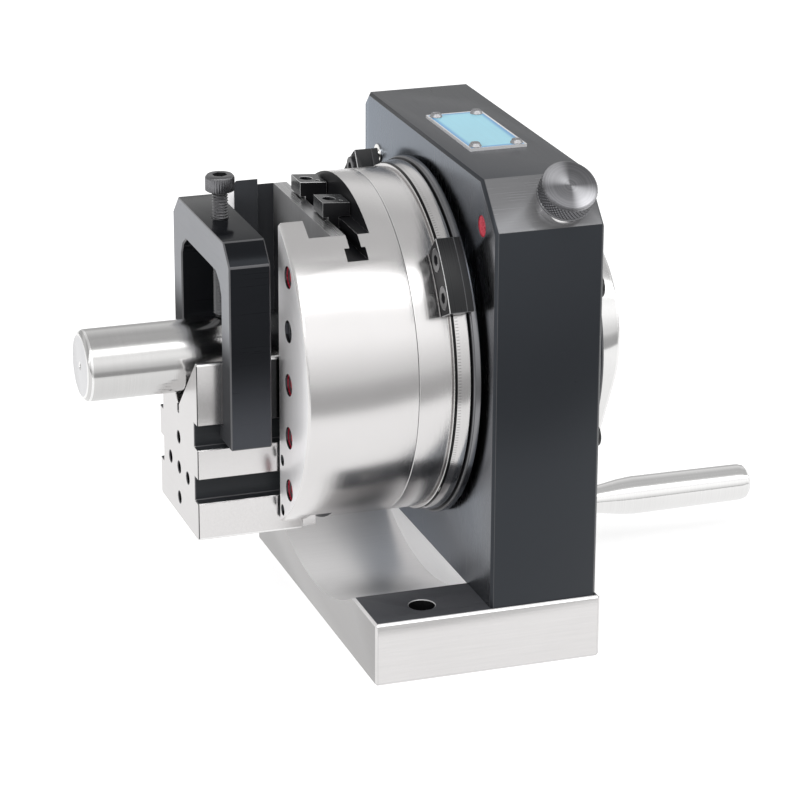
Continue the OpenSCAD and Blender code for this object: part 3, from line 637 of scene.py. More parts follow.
BLACK_BORE = Finish(
    "blackened_bore", (0.003, 0.003, 0.0035), metal=0.0, roughness=0.5, marks=0.1, shine=0.1)
SATIN = Faded(
    "satin_yoke_front", (0.29, 0.295, 0.31), metal=0.0, roughness=0.5, lay=Lay.ALONG_Y, marks=0.06,
    clouds=0.05, shine=0.02, way=DOWN, start=-88.0 * MM, end=-75.0 * MM,
    far_colour=(0.035, 0.036, 0.039))
# the yoke's flanks: painted light, lighter towards their foot
YOKE_SIDE_LIT = Faded(
    "blackened_yoke_side_painted_light", (0.008, 0.0085, 0.01), metal=0.0, roughness=0.3, lay=Lay.ALONG_X, marks=0.1,
    shine=0.1, tint=BLUISH, way=DOWN, start=-80.0 * MM, end=-56.0 * MM,
    far_colour=(0.055, 0.058, 0.066))
GROOVE = Finish(
    "blackened_groove", (0.025, 0.027, 0.03), metal=0.0, roughness=0.4, lay=Lay.ALONG_X, marks=0.15,
    clouds=0.2, shine=0.15)
# the back of the upright slot: painted light towards its top where the slot opens, painted shade deeper down
SLOT_BACK_LIT = Faded(
    "blackened_slot_back_painted_light", (0.035, 0.036, 0.04), metal=0.0, roughness=0.5, lay=Lay.ALONG_Z, marks=0.3,
    mark_scale=900.0, relief=0.02, clouds=0.2, shine=0.3, start=93.0 * MM, end=101.0 * MM,
    far_colour=(0.24, 0.24, 0.245))
# a dark line: a dark seam where the head meets the ring, and painted shade on the V-block's near front
# corner
SEAM_AND_SHADE_LINE = Finish("dark_seam_and_painted_shade", (0.03, 0.03, 0.032), metal=0.0, roughness=0.5, marks=0.1, shine=0.1)
BLACK_THREAD = Finish("black_thread", (0.15, 0.15, 0.155), metal=0.9, roughness=0.24)
BLACK_SCREW = Finish("black_screw", (0.02, 0.02, 0.022), metal=0.0, roughness=0.3, marks=0.06)
GREY_HEAD = Finish("rubbed_screw_head", (0.15, 0.15, 0.155), metal=0.9, roughness=0.3, marks=0.1)
KNURLED_BLACK = Finish("knurled_black", (0.2, 0.2, 0.21), metal=0.85, roughness=0.28)
RUBBED_EDGE = Finish("rubbed_edge", (0.5, 0.5, 0.505), metal=0.5, roughness=0.3, marks=0.15)

# bronze and wax
BRONZE = Finish("bearing_bronze", (0.62, 0.43, 0.2), roughness=0.25, lay=Lay.ROUND)
WAX = Finish(
    "sealing_wax", (0.42, 0.022, 0.045), metal=0.0, roughness=0.28, clouds=0.3, cloud_scale=700.0,
    mark_scale=1500.0, relief=0.12)


def looks_forward(c: Vector, n: Vector) -> bool:
    """The faces towards the punch's free end."""
    return n.x < -FACING


def looks_up(c: Vector, n: Vector) -> bool:
    """The faces on top."""
    return n.z > FACING


def looks_sideways(c: Vector, n: Vector) -> bool:
    """The faces on both flanks."""
    return abs(n.y) > FACING


def no_face(c: Vector, n: Vector) -> bool:
    """No face, for a coat whose faces come later."""
    return False


def anywhere(c: Vector) -> bool:
    """Any place."""
    return True


@dataclass
class Coat:
    """A finish for some of a piece's faces, and the finish of the edges between them."""

    face: Finish
    edge: Finish


class Workpiece:
    """A visible piece that starts from a CAD node's own surfaces and gets broken edges."""

    def __init__(self, node: str) -> None:
        """Copies the node's mesh, joins its loose faces and merges its flat ones.

        Args:
            node: the CAD node.
        """
        self.node = node
        self.coats: list[Coat] = []
        self.bm = bmesh.new()
        self.bm.from_mesh(frame["nodes"][node].data)
        bmesh.ops.remove_doubles(self.bm, verts=self.bm.verts[:], dist=MERGED_WITHIN)
        bmesh.ops.dissolve_limit(
            self.bm, angle_limit=math.radians(FLAT_WITHIN_DEGREES), verts=self.bm.verts[:],
            edges=self.bm.edges[:])
        for face in self.bm.faces:
            face.material_index = 0

    def coat(self, face: Finish, edge: Finish, where: FaceTest) -> "Workpiece":
        """Gives some of the faces a finish of their own.

        Args:
            face: the finish of the faces.
            edge: the finish of the edges between two of them, where break_edges comes later.
            where: takes a face's centre in millimetres and its normal, and says if the face is one.

        Returns:
            The piece itself.
        """
        self.coats.append(Coat(face, edge))
        for f in self.bm.faces:
            if where(f.calc_center_median() / MM, f.normal):
                f.material_index = 2 * len(self.coats)
        return self

    def break_edges(self, width_mm: float, where: PlaceTest = anywhere,
                    sharper_than: float = 35.0) -> "Workpiece":
        """Chamfers the edges that are sharper than the angle.

        Args:
            width_mm: how far the chamfer reaches on each side.
            where: takes the middle of an edge in millimetres, and says if it is one.
            sharper_than: the angle in degrees.

        Returns:
            The piece itself.
        """
        limit = math.radians(sharper_than)
        edges = [e for e in self.bm.edges
                 if e.is_manifold and e.calc_face_angle(0.0) > limit and e.calc_length() > SHORTEST_BROKEN
                 and where((e.verts[0].co + e.verts[1].co) / 2 / MM)]
        made = bmesh.ops.bevel(
            self.bm, geom=edges, offset=width_mm * MM, offset_type="OFFSET", segments=1,
            profile=0.5, affect="EDGES", clamp_overlap=True, material=-1, loop_slide=True)
        chamfers = set(made["faces"])
        for f in chamfers:
            beside = [n.material_index // 2 for e in f.edges for n in e.link_faces if n not in chamfers]
            f.material_index = 2 * min(beside, default=0) + 1
        return self

    def finish(self, face: Finish, edge: Finish) -> bpy.types.Object:
        """Makes the object, dresses it, and puts it in the node's place.

        Args:
            face: the finish of the faces that no coat covers.
            edge: the finish of the broken edges beside them.

        Returns:
            The piece.
        """
        finishes = [face, edge]
        for coat in self.coats:
            finishes += [coat.face, coat.edge]
        return show(self.bm, self.node, finishes)


def show(bm: bmesh.types.BMesh, node: str, finishes: Sequence[Finish],
         smoother_than: float = 30.0) -> bpy.types.Object:
    """Makes an object of a mesh, which stands for a CAD node and moves with its body.

    Args:
        bm: the mesh, which is freed.
        node: the CAD node.
        finishes: one for each material index.
        smoother_than: the angle in degrees under which an edge is shaded smooth.

    Returns:
        The object.
    """
    smooth = math.radians(smoother_than)
    for e in bm.edges:
        e.smooth = e.is_manifold and e.calc_face_angle(0.0) < smooth
    for f in bm.faces:
        f.smooth = True
    name = node + "_made"
    mesh = bpy.data.meshes.new(name)
    bm.to_mesh(mesh)
    bm.free()
    for finish in finishes:
        mesh.materials.append(finish.build())
    piece = bpy.data.objects.new(name, mesh)
    bpy.context.scene.collection.objects.link(piece)
    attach(piece, BODY_OF[node])
    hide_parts(node)
    log.info("%s: %d faces", name, len(mesh.polygons))
    return piece


class Spun:
    """A turned form, whose rings may be knurled, threaded or hexagonal."""

    def __init__(self, axis: Axis, segments: int, bm: bmesh.types.BMesh | None = None) -> None:
        """Sets up the form's own directions.

        Args:
            axis: what it is turned about.
            segments: how many steps a turn has.
            bm: the mesh to add to, or none for a new one.
        """
        self.segments = segments
        self.along = Vector(axis.way).normalized()
        self.start = Vector(axis.point)
        lies_along_x = abs(self.along.x) >= FACING
        self.side = self.along.cross(Vector(UP if lies_along_x else BACKWARD))
        self.side.normalize()
        self.other = self.along.cross(self.side)
        self.bm = bmesh.new() if bm is None else bm

    def point(self, height: float, radius: float, angle: float) -> Vector:
        """The place of a point of the form, in metres, from sizes in millimetres."""
        across = self.side * math.cos(angle) + self.other * math.sin(angle)
        return self.start + (self.along * height + across * radius) * MM

    def form(self, rings: Sequence[Ring]) -> "Spun":
        """Joins rings into a closed form.

        Args:
            rings: for each, its height in mm, its radius in mm at an angle, and the material index of
                the faces between it and the next.

        Returns:
            The form itself.
        """
        angles = [2.0 * math.pi * k / self.segments for k in range(self.segments)]
        rows = [[self.bm.verts.new(self.point(height, radius(a), a)) for a in angles]
                for height, radius, _ in rings]
        for (_, _, index), low, high in zip(rings, rows, rows[1:]):
            for k in range(self.segments):
                n = (k + 1) % self.segments
                self.bm.faces.new((low[k], low[n], high[n], high[k])).material_index = index
        for row, (height, _, _), turn in ((rows[0], rings[0], -1), (rows[-1], rings[-1], 1)):
            middle = self.bm.verts.new(self.point(height, 0.0, 0.0))
            for k in range(self.segments):
                pair = (row[k], row[(k + 1) % self.segments])
                face = self.bm.faces.new((*pair[::turn], middle))
                face.material_index = rings[-1][2] if turn > 0 else rings[0][2]
        return self


def plain(radius: float) -> Reach:
    """A ring of one radius."""
    return lambda angle: radius


def plain_rings(index: int, outline: Sequence[tuple[float, float]]) -> list[Ring]:
    """Rings of one material and one radius each, from their heights and radii in millimetres."""
    return [(height, plain(radius), index) for height, radius in outline]


def hexagon(across: float) -> Reach:
    """A ring in the shape of a hexagon, by its width across the flats."""
    return lambda angle: across / 2 / math.cos(angle % (math.pi / 3) - math.pi / 6)


def rounded_cut(turn: float) -> float:
    """How deep a row of rounded cuts is at a turn, from 0 on a tooth to 1 between two of them."""
    return 0.5 - 0.5 * math.cos(turn)


def straight_knurl(radius: float, depth: float, teeth: int) -> Reach:
    """A ring with straight teeth cut into it."""
    return lambda angle: radius - depth * rounded_cut(angle * teeth)


def diamond_knurl(radius: float, depth: float, teeth: int, turn: float) -> Reach:
    """A ring through crossed knurling, where turn is how far round the two sets of cuts have gone."""
    return lambda angle: radius - depth * max(
        rounded_cut((angle + turn) * teeth), rounded_cut((angle - turn) * teeth))


def even_flank(turn: float) -> float:
    """How deep a thread is at a turn, from 0 to 1 and back along each pitch."""
    return 1.0 - abs(2.0 * (turn % 1.0) - 1.0)


def thread_row(height: float, outer: float, pitch: float, depth: float) -> Reach:
    """A ring through a screw thread at a height."""
    return lambda angle: outer - depth * even_flank(height / pitch + angle / math.tau)


@dataclass(frozen=True)
class Lamp:
    """A soft square lamp that is aimed at the object, and that steel doesn't mirror."""

    name: str
    place: Point
    size: float
    power: float

    def build(self, target: Point) -> None:
        """Hangs the lamp.

        Args:
            target: the point that it is turned to.
        """
        light = bpy.data.lights.new(self.name, "AREA")
        light.size = self.size
        light.energy = self.power
        made = bpy.data.objects.new(self.name, light)
        made.visible_glossy = False
        made.location = self.place
        made.rotation_euler = (Vector(target) - Vector(self.place)).to_track_quat("-Z", "Y").to_euler()
        bpy.context.scene.collection.objects.link(made)


@dataclass
class Studio:
    """The white sweep, the lamps, the gradient that the steel mirrors, and the camera."""

    # one large lamp over the front, and two weak ones from the left
    lamps: tuple[Lamp, ...] = (
        Lamp("over_front", (-0.25, -0.9, 1.35), 0.9, 9.0),
        Lamp("from_left", (-1.3, 0.1, 0.9), 0.8, 5.0),
        Lamp("low_left", (-0.95, -0.8, 0.3), 0.5, 4.5))
    # the level of the world for matt surfaces, and the floor as the camera sees it
    even_level: float = 0.62
    floor_size: float = 6.0
    floor_white: float = 0.82
    floor_glow: float = 0.5
    # the floor as steel mirrors it: its level, what the table and the far front add to it or take from it,
    # and the shadow painted under the object
    mirrored_level: float = 0.78
    table_gain: float = 0.7
    table_edge: float = -0.178
    table_fade: float = 0.012
    front_loss: float = 0.38
    far_front: float = -0.9
    under_shadow_loss: float = 0.08
    under_shadow_reach: tuple[float, float] = (0.06, 0.17)
    # the camera: its angles are in degrees, and aside is how far it stands to the right and up
    film_wide_mm: float = 36.0
    sight: tuple[float, float] = (0.01, 20.0)
    lens: float = 150.47
    azimuth: float = -18.904
    elevation: float = 20.002
    roll: float = 0.263
    distance: float = 0.842612
    target: Point = (0.0, 0.0, 0.060)
    aside: tuple[float, float] = (-0.006409, -0.006201)
    # what steel mirrors, as (degrees, strength), from below past the front at 0 and the top to the back
    gradient: Outline = (
        (-60.0, 0.5), (-24.0, 0.5), (-11.0, 0.6), (-1.0, 0.8), (9.0, 1.0), (19.0, 1.2), (29.0, 1.24),
        (39.0, 1.12), (45.0, 1.7), (49.0, 3.2), (59.0, 3.2), (63.0, 1.5), (69.0, 0.72), (79.0, 0.57),
        (99.0, 0.59), (109.0, 0.55), (119.0, 0.62), (129.0, 0.72), (145.0, 0.84), (151.0, 0.78),
        (158.0, 0.58), (180.0, 0.5))

    def build(self) -> None:
        """Makes everything that isn't the object."""
        bpy.context.scene.view_settings.view_transform = "Standard"
        self.make_world()
        self.make_floor()
        for lamp in self.lamps:
            lamp.build(self.target)
        self.make_camera()

    @staticmethod
    def rays(graph: Graph) -> tuple[Wire, Wire]:
        """Tells rays apart.

        Args:
            graph: the nodes of the floor or of the world.

        Returns:
            1 on a ray that the camera sends out, and 1 on a ray that metal or glass sends on.
        """
        seen = graph.node("ShaderNodeLightPath", {}, {}, "Is Camera Ray")
        shiny = graph.node("ShaderNodeLightPath", {}, {}, "Is Glossy Ray")
        through = graph.node("ShaderNodeLightPath", {}, {}, "Is Transmission Ray")
        return seen, (shiny + through).clipped()

    def make_world(self) -> None:
        """White for the camera, the studio's gradient for steel, and an even level for the rest."""
        world = bpy.data.worlds.new("studio")
        world.use_nodes = True
        world.cycles.sampling_method = "NONE"
        bpy.context.scene.world = world
        graph = Graph(world.node_tree)
        _, back, up = graph.parts(graph.node("ShaderNodeTexCoord", {}, {}, "Generated"))
        angle = graph.node("ShaderNodeMath", {"operation": "ARCTAN2"}, {0: up, 1: back * -1.0})
        low, high = -math.pi / 2, math.pi
        top = max(strength for _, strength in self.gradient)
        stops = [((math.radians(degrees) - low) / (high - low), (strength / top,) * 3)
                 for degrees, strength in self.gradient]
        mirrored = graph.node("ShaderNodeValToRGB", {"stops": stops}, {0: (angle - low) / (high - low)})
        glossy = graph.node("ShaderNodeBackground", {}, {"Color": mirrored, "Strength": top})
        shown = graph.node("ShaderNodeBackground", {}, {"Color": WHITE, "Strength": 1.0})
        even = graph.node("ShaderNodeBackground", {}, {"Color": WHITE, "Strength": self.even_level})
        seen, shiny = self.rays(graph)
        lit = graph.node("ShaderNodeMixShader", {}, {0: shiny, 1: even, 2: glossy})
        final = graph.node("ShaderNodeMixShader", {}, {0: seen, 1: lit, 2: shown})
        graph.node("ShaderNodeOutputWorld", {}, {"Surface": final})

    def make_floor(self) -> None:
        """A white sweep that keeps the object's shadow. Mirrored, it is grey before the table's edge, with a
        painted shadow under the object.
        """
        mesh = bpy.data.meshes.new("floor")
        half = self.floor_size / 2
        corners = [(-half, -half, 0.0), (half, -half, 0.0), (half, half, 0.0), (-half, half, 0.0)]
        mesh.from_pydata(corners, [], [(0, 1, 2, 3)])
        material, graph = new_material("white_sweep")
        material.cycles.emission_sampling = "NONE"
        _, back, _ = graph.parts(graph.place())
        away = graph.measure("LENGTH", graph.place(), ORIGIN)
        table = back.over(self.table_edge, self.table_edge + self.table_fade)
        front = back.over(self.far_front, self.table_edge)
        # a painted shadow near the object, in the floor that steel mirrors
        under = 1.0 - away.over(*self.under_shadow_reach)
        seen, shiny = self.rays(graph)
        paper = graph.node("ShaderNodeBsdfDiffuse", {}, {"Color": rgba((self.floor_white,) * 3)})
        glow = graph.node("ShaderNodeEmission", {}, {"Color": WHITE, "Strength": seen * self.floor_glow})
        both = graph.node("ShaderNodeAddShader", {}, {0: paper, 1: glow})
        level = (self.mirrored_level - front * self.front_loss + table * self.table_gain
                 - under * self.under_shadow_loss)
        mirrored = graph.node("ShaderNodeEmission", {}, {"Color": WHITE, "Strength": level})
        final = graph.node("ShaderNodeMixShader", {}, {0: shiny, 1: both, 2: mirrored})
        graph.node("ShaderNodeOutputMaterial", {}, {"Surface": final})
        mesh.materials.append(material)
        floor = bpy.data.objects.new("floor", mesh)
        bpy.context.scene.collection.objects.link(floor)

    def make_camera(self) -> None:
        """Stands the camera where the photograph was taken."""
        a, e, r = (math.radians(v) for v in (self.azimuth, self.elevation, self.roll))
        back = Vector((math.sin(a) * math.cos(e), -math.cos(a) * math.cos(e), math.sin(e)))
        right = Vector((math.cos(a), math.sin(a), 0.0))
        up = back.cross(right)
        right, up = right * math.cos(r) + up * math.sin(r), up * math.cos(r) - right * math.sin(r)
        place = Vector(self.target) + back * self.distance + right * self.aside[0] + up * self.aside[1]
        camera = bpy.data.cameras.new("camera")
        camera.sensor_width = self.film_wide_mm
        camera.lens = self.lens
        camera.clip_start, camera.clip_end = self.sight
        made = bpy.data.objects.new("camera", camera)
        turn = Matrix((right, up, back)).transposed().to_4x4()
        made.matrix_world = Matrix.Translation(place) @ turn
        bpy.context.scene.collection.objects.link(made)
        bpy.context.scene.camera = made


def dress(nodes: Sequence[str], width_mm: float, face: Finish, edge: Finish) -> None:
    """Dresses pieces that have one finish all over.

    Args:
        nodes: the CAD nodes.
        width_mm: how wide their edges are broken.
        face: the finish of the faces.
        edge: the finish of the broken edges.
    """
    for node in nodes:
        Workpiece(node).break_edges(width_mm).finish(face, edge)


def islands(node: str) -> list[Vector]:
    """Finds the separate solids of a node.

    Args:
        node: the CAD node.

    Returns:
        The middle of each solid, in metres, in the order of the node's points.
    """
    bm = bmesh.new()
    bm.from_mesh(frame["nodes"][node].data)
    bmesh.ops.remove_doubles(bm, verts=bm.verts[:], dist=MERGED_WITHIN)
    seen = set()
    middles = []
    for first in bm.verts:
        if first in seen:
            continue
        seen.add(first)
        solid = [first]
        for v in solid:
            for n in (e.other_vert(v) for e in v.link_edges):
                if n not in seen:
                    seen.add(n)
                    solid.append(n)
        low, high = (Vector(pick(v.co[k] for v in solid) for k in range(3)) for pick in (min, max))
        middles.append((low + high) / 2)
    bm.free()
    return middles


@dataclass
class BaseAndHousing:
    """The base, the housing that stands in it, and what is screwed and pressed into them."""

    edge: float = 0.27
    base_edge: float = 0.2
    bolt_edge: float = 0.6
    cap_edge: float = 0.2
    cover_edge: float = 0.15
    spring_edge: float = 0.08
    # the bolt holes lie farther out than this, and this far inside the base's sides
    bolts_beyond: float = 36.0
    bolts_inside: float = 2.0
    trough_rise: float = 0.1
    plate_rim: float = 0.6
    field_sink: float = 0.06
    wax_steps: int = 40
    # the wax from the rim of its hole to the middle, as shares of its depth and its radius
    wax_outline: Outline = ((-1.0, 1.0), (0.0, 1.0), (-0.3, 0.84), (-0.5, 0.5), (-0.54, 0.12))

    def build(self) -> None:
        """Dresses each piece."""
        self.dress_base()
        self.dress_plate()
        self.dress_housing()
        dress(("rear_cap",), self.cap_edge, BLACK, BLACK_EDGE)
        cover = Workpiece("cover_ring").coat(BLACK_SLOT, BLACK_EDGE, looks_forward)
        cover.break_edges(self.cover_edge).finish(TURNED_COVER, BLACK_EDGE)
        dress(("index_collar",), FINE_EDGE_MM, POLISHED_COLLAR, BRIGHT_EDGE)
        dress(("housing_screws", "cover_screws", "cap_screws", "bush_lock_screw"), SMALL_EDGE_MM,
              BLACK_SCREW, BLACK_EDGE)
        dress(("front_bush", "rear_bush"), SMALL_EDGE_MM, BRONZE, BRONZE)
        dress(("oiler",), SMALL_EDGE_MM, OIL_BALL, BRIGHT_EDGE)
        dress(("plate_screws",), SMALL_EDGE_MM, PLATE_SCREW, PLATE_SCREW)
        dress(("housing_dowels", "index_spring"), self.spring_edge, SPRING, BRIGHT_EDGE)
        dress(("index_bush",), FINE_EDGE_MM, TURNED, BRIGHT_EDGE)
        self.pour_seal()

    def dress_housing(self) -> None:
        """Blackened steel, with painted light on its front, its near bevel and its top, which are lighter
        copies of the same black.
        """

        def near_bevel(c: Vector, n: Vector) -> bool:
            """The sloping face on the side of the photograph, which the index pin stands in."""
            return n.z > SLOPING and n.y < -SLOPING

        housing = Workpiece("housing").coat(BLACK_FRONT_LIT, BLACK_EDGE, looks_forward)
        housing.coat(BLACK_BEVEL_LIT, BLACK_EDGE, near_bevel).coat(BLACK_TOP_LIT, BLACK_EDGE, looks_up)
        housing.break_edges(self.edge).finish(BLACK, BLACK_EDGE)

    def dress_base(self) -> None:
        """Ground steel with a blackened step on each side of the trough, a front darkened by painted shade,
        and a bright end wall.
        """
        low, high = (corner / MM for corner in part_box("base"))

        def ledge(c: Vector, n: Vector) -> bool:
            """The steps on top."""
            return looks_up(c, n) and c.z > high.z - IN_PLANE_MM

        def bolt_rim(c: Vector) -> bool:
            """The places round a bolt hole."""
            inside = self.bolts_inside
            return (self.bolts_beyond < abs(c.y) < high.y - inside
                    and low.x + inside < c.x < -inside)

        def bore(c: Vector, n: Vector) -> bool:
            """The walls of the bolt holes."""
            return abs(n.z) < RUNNING and bolt_rim(c)

        def front(c: Vector, n: Vector) -> bool:
            """The end face under the head."""
            return looks_forward(c, n) and c.x < low.x + IN_PLANE_MM

        def end_wall(c: Vector, n: Vector) -> bool:
            """The wall that closes the trough, in the plane of the housing's front."""
            return looks_forward(c, n) and abs(c.x) < IN_PLANE_MM

        def trough(c: Vector, n: Vector) -> bool:
            """The hollow between the steps."""
            return n.z > self.trough_rise and c.z < high.z - IN_PLANE_MM and c.x < 0.0

        base = Workpiece("base").coat(BLACK_LEDGE, RUBBED_EDGE, ledge).coat(BLACK_BORE, BLACK_EDGE, bore)
        base.coat(FRONT_GROUND_SHADED, BRIGHT_EDGE, front).coat(END_WALL, BRIGHT_EDGE, end_wall)
        base.coat(TROUGH, BRIGHT_EDGE, trough)
        base.break_edges(self.bolt_edge, bolt_rim).break_edges(self.base_edge)
        base.finish(GROUND_X, BASE_EDGE)

    def dress_plate(self) -> None:
        """A bare plate whose coloured field lies a little under its rim."""
        low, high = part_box("name_plate")
        rim = self.plate_rim * MM
        field = Enamelled(
            "plate_blue_field", ENAMEL_BLUE, metal=0.25, roughness=0.3, lay=Lay.ALONG_Y,
            middle=tuple((low + high) / 2), half=tuple((high - low)[k] / 2 - rim for k in range(2)))
        plate = Workpiece("name_plate").break_edges(FINE_EDGE_MM).coat(field, BRIGHT_EDGE, no_face)
        top = [f for f in plate.bm.faces if f.normal.z > FACING]
        top = bmesh.ops.triangulate(plate.bm, faces=top)["faces"]
        bmesh.ops.inset_region(plate.bm, faces=top, thickness=rim, depth=0.0, use_boundary=True)
        for v in {v for f in top for v in f.verts}:
            v.co.z -= self.field_sink * MM
        for f in top:
            f.material_index = 2 * len(plate.coats)
        plate.finish(PLATE, BRIGHT_EDGE)

    def pour_seal(self) -> None:
        """Wax over the lock screw in the front of the housing, hollow where it shrank."""
        low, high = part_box("bush_seal")
        middle = (low + high) / 2
        deep, radius = (high.x - low.x) / MM, (high.y - low.y) / 2 / MM
        seal = Spun(Axis((low.x, middle.y, middle.z), FORWARD), self.wax_steps)
        seal.form(plain_rings(0, [(height * deep, share * radius) for height, share in self.wax_outline]))
        show(seal.bm, "bush_seal", [WAX])


@dataclass
class TurningHead:
    """The spindle, the rotor head with its slots, the graduated ring and the index plate."""

    edge: float = 0.25
    land_edge: float = 0.5
    # where the head's parts lie, for the tests that pick out its faces
    inner_radius: float = 42.0
    skin: float = 0.05
    slot_back: float = -32.4
    slot_half: float = 15.0
    flat_height: float = 106.7
    land_back: float = -28.0
    seam_wide: float = 0.45
    seam_tilt: float = 0.2
    wax_steps: int = 36
    # the wax in a screw's hole from the wall to the middle, as heights over the cheek and radii
    wax_outline: Outline = ((-1.6, 2.72), (-0.5, 2.72), (-0.75, 2.2), (-0.9, 1.3), (-0.85, 0.5))

    def build(self) -> None:
        """Dresses each piece."""
        dress(("spindle", "index_plate"), FINE_EDGE_MM, TURNED, BRIGHT_EDGE)
        self.dress_head()
        dress(("scale_ring",), SMALL_EDGE_MM, TURNED_RING, BRIGHT_EDGE)
        dress(("ring_screws", "head_screws", "slide_lock_screws", "index_key", "lock_nut"), SMALL_EDGE_MM,
              BLACK_SCREW, BLACK_EDGE)
        self.pour_seals()

    def dress_head(self) -> None:
        """A turned head whose slots are blackened inside."""
        low, high = (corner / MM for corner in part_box("rotor_head"))
        middle = Vector(SPINDLE.point) / MM

        def off(c: Vector) -> float:
            """How far a place is from the spindle's axis."""
            return math.hypot(c.y - middle.y, c.z - middle.z)

        def inside(c: Vector, n: Vector) -> bool:
            """What lies behind the cheeks, within the rim."""
            return off(c) < self.inner_radius and c.x > low.x + self.skin

        def slot_wall(c: Vector, n: Vector) -> bool:
            """The walls of the upright slot in front of its undercut."""
            return (inside(c, n) and looks_sideways(c, n) and abs(c.y) > self.slot_half
                    and c.x < self.slot_back)

        def slot_bottom(c: Vector, n: Vector) -> bool:
            """The face at the back of the upright slot."""
            return looks_forward(c, n) and abs(c.x - self.slot_back) < IN_PLANE_MM

        def front_land(c: Vector, n: Vector) -> bool:
            """The strip of the top flat before its slot."""
            return looks_up(c, n) and abs(c.z - self.flat_height) < IN_PLANE_MM and c.x < self.land_back

        def land_edge(c: Vector) -> bool:
            """The strip's front edge."""
            return abs(c.x - self.slot_back) < IN_PLANE_MM and abs(c.z - self.flat_height) < IN_PLANE_MM

        def cheek(c: Vector, n: Vector) -> bool:
            """The faced front."""
            return looks_forward(c, n) and c.x < low.x + IN_PLANE_MM

        def seam(c: Vector, n: Vector) -> bool:
            """The broken edge at the back, where the head meets the ring."""
            return off(c) > self.inner_radius and c.x > high.x - self.seam_wide and abs(n.x) > self.seam_tilt

        head = Workpiece("rotor_head").coat(BLACK_SLOT, LIT_EDGE, inside)
        head.coat(BLACK_WALL, LIT_EDGE, slot_wall).coat(SLOT_BACK_LIT, LIT_EDGE, slot_bottom)
        head.coat(LAND, LIT_EDGE, front_land).coat(TURNED_FACE, LIT_EDGE, cheek)
        head.break_edges(self.land_edge, land_edge).break_edges(self.edge)
        head.coat(SEAM_AND_SHADE_LINE, SEAM_AND_SHADE_LINE, seam).finish(TURNED, LIT_EDGE)

    def pour_seals(self) -> None:
        """Wax over each screw in the head, higher at the wall of the hole than in the middle."""
        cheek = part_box("rotor_head")[0].x
        bm = bmesh.new()
        for middle in islands("wax_seals"):
            seal = Spun(Axis((cheek, middle.y, middle.z), FORWARD), self.wax_steps, bm)
            seal.form(plain_rings(0, self.wax_outline))
        show(bm, "wax_seals", [WAX])


@dataclass
class Crank:
    """The arm on the back of the spindle, with its handle."""

    arm_edge: float = 0.4
    handle_edge: float = 0.15

    def build(self) -> None:
        """Dresses each piece."""
        dress(("crank_arm",), self.arm_edge, POLISHED, BRIGHT_EDGE)
        dress(("crank_handle",), self.handle_edge, POLISHED_HANDLE, BRIGHT_EDGE)
        dress(("crank_key", "crank_screw", "crank_washer"), SMALL_EDGE_MM, BLACK_SCREW, BLACK_EDGE)


@dataclass
class Slide:
    """The slide plate in the upright T-slot, and the V-block on it."""

    edge: float = 0.3
    plate_edge: float = 0.2
    # where the grooves and the holes lie: across, up, and how far from the block's foot and top
    groove_floor: float = 14.0
    groove_top: float = 59.8
    foot_clear: float = 0.5
    groove_clear: float = 6.0
    bore_clear: float = 15.0
    corner_tilt: float = 0.3

    def build(self) -> None:
        """Dresses each piece."""
        self.dress_block()
        dress(("slide_plate",), self.plate_edge, GROUND_X, BRIGHT_EDGE)
        dress(("slide_screws", "height_screw"), FINE_EDGE_MM, BLACK_SCREW, BLACK_EDGE)

    def dress_block(self) -> None:
        """A ground V-block with blackened grooves and holes, painted shade on its flanks towards the back,
        and one corner painted dark as a line of shade.
        """
        low, high = (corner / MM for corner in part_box("v_block"))
        middle = (low.y + high.y) / 2

        def groove(c: Vector, n: Vector) -> bool:
            """The floors and walls of the side grooves."""
            return (abs(n.x) < RUNNING and self.groove_floor < abs(c.y - middle) < high.y - IN_PLANE_MM
                    and low.z + self.foot_clear < c.z < high.z - self.groove_clear)

        def bore(c: Vector, n: Vector) -> bool:
            """The walls of the holes in the front."""
            return (abs(n.x) < RUNNING and abs(c.y - middle) < self.groove_floor
                    and low.z + self.foot_clear < c.z < high.z - self.bore_clear)

        def front(c: Vector, n: Vector) -> bool:
            """The ground front."""
            return looks_forward(c, n) and c.x < low.x + IN_PLANE_MM

        def side(c: Vector, n: Vector) -> bool:
            """The flanks over the yoke's grooves, which turn dark towards the back as painted shade."""
            outside = abs(c.y - middle) > high.y - middle - IN_PLANE_MM
            return looks_sideways(c, n) and outside and c.z > self.groove_top

        def near_corner(c: Vector, n: Vector) -> bool:
            """The broken edge between the front and the near flank, painted dark as a line of shade."""
            return (n.x < -self.corner_tilt and n.y < -self.corner_tilt
                    and c.y < low.y + self.edge and c.x < low.x + self.edge)

        block = Workpiece("v_block").coat(GROOVE, BLACK_EDGE, groove).coat(BLACK_BORE, BLACK_EDGE, bore)
        block.coat(VEE_FRONT, BRIGHT_EDGE, front).coat(VEE_SIDE_SHADED, BRIGHT_EDGE, side)
        block.break_edges(self.edge).coat(SEAM_AND_SHADE_LINE, SEAM_AND_SHADE_LINE, near_corner).finish(GROUND_Y, BRIGHT_EDGE)


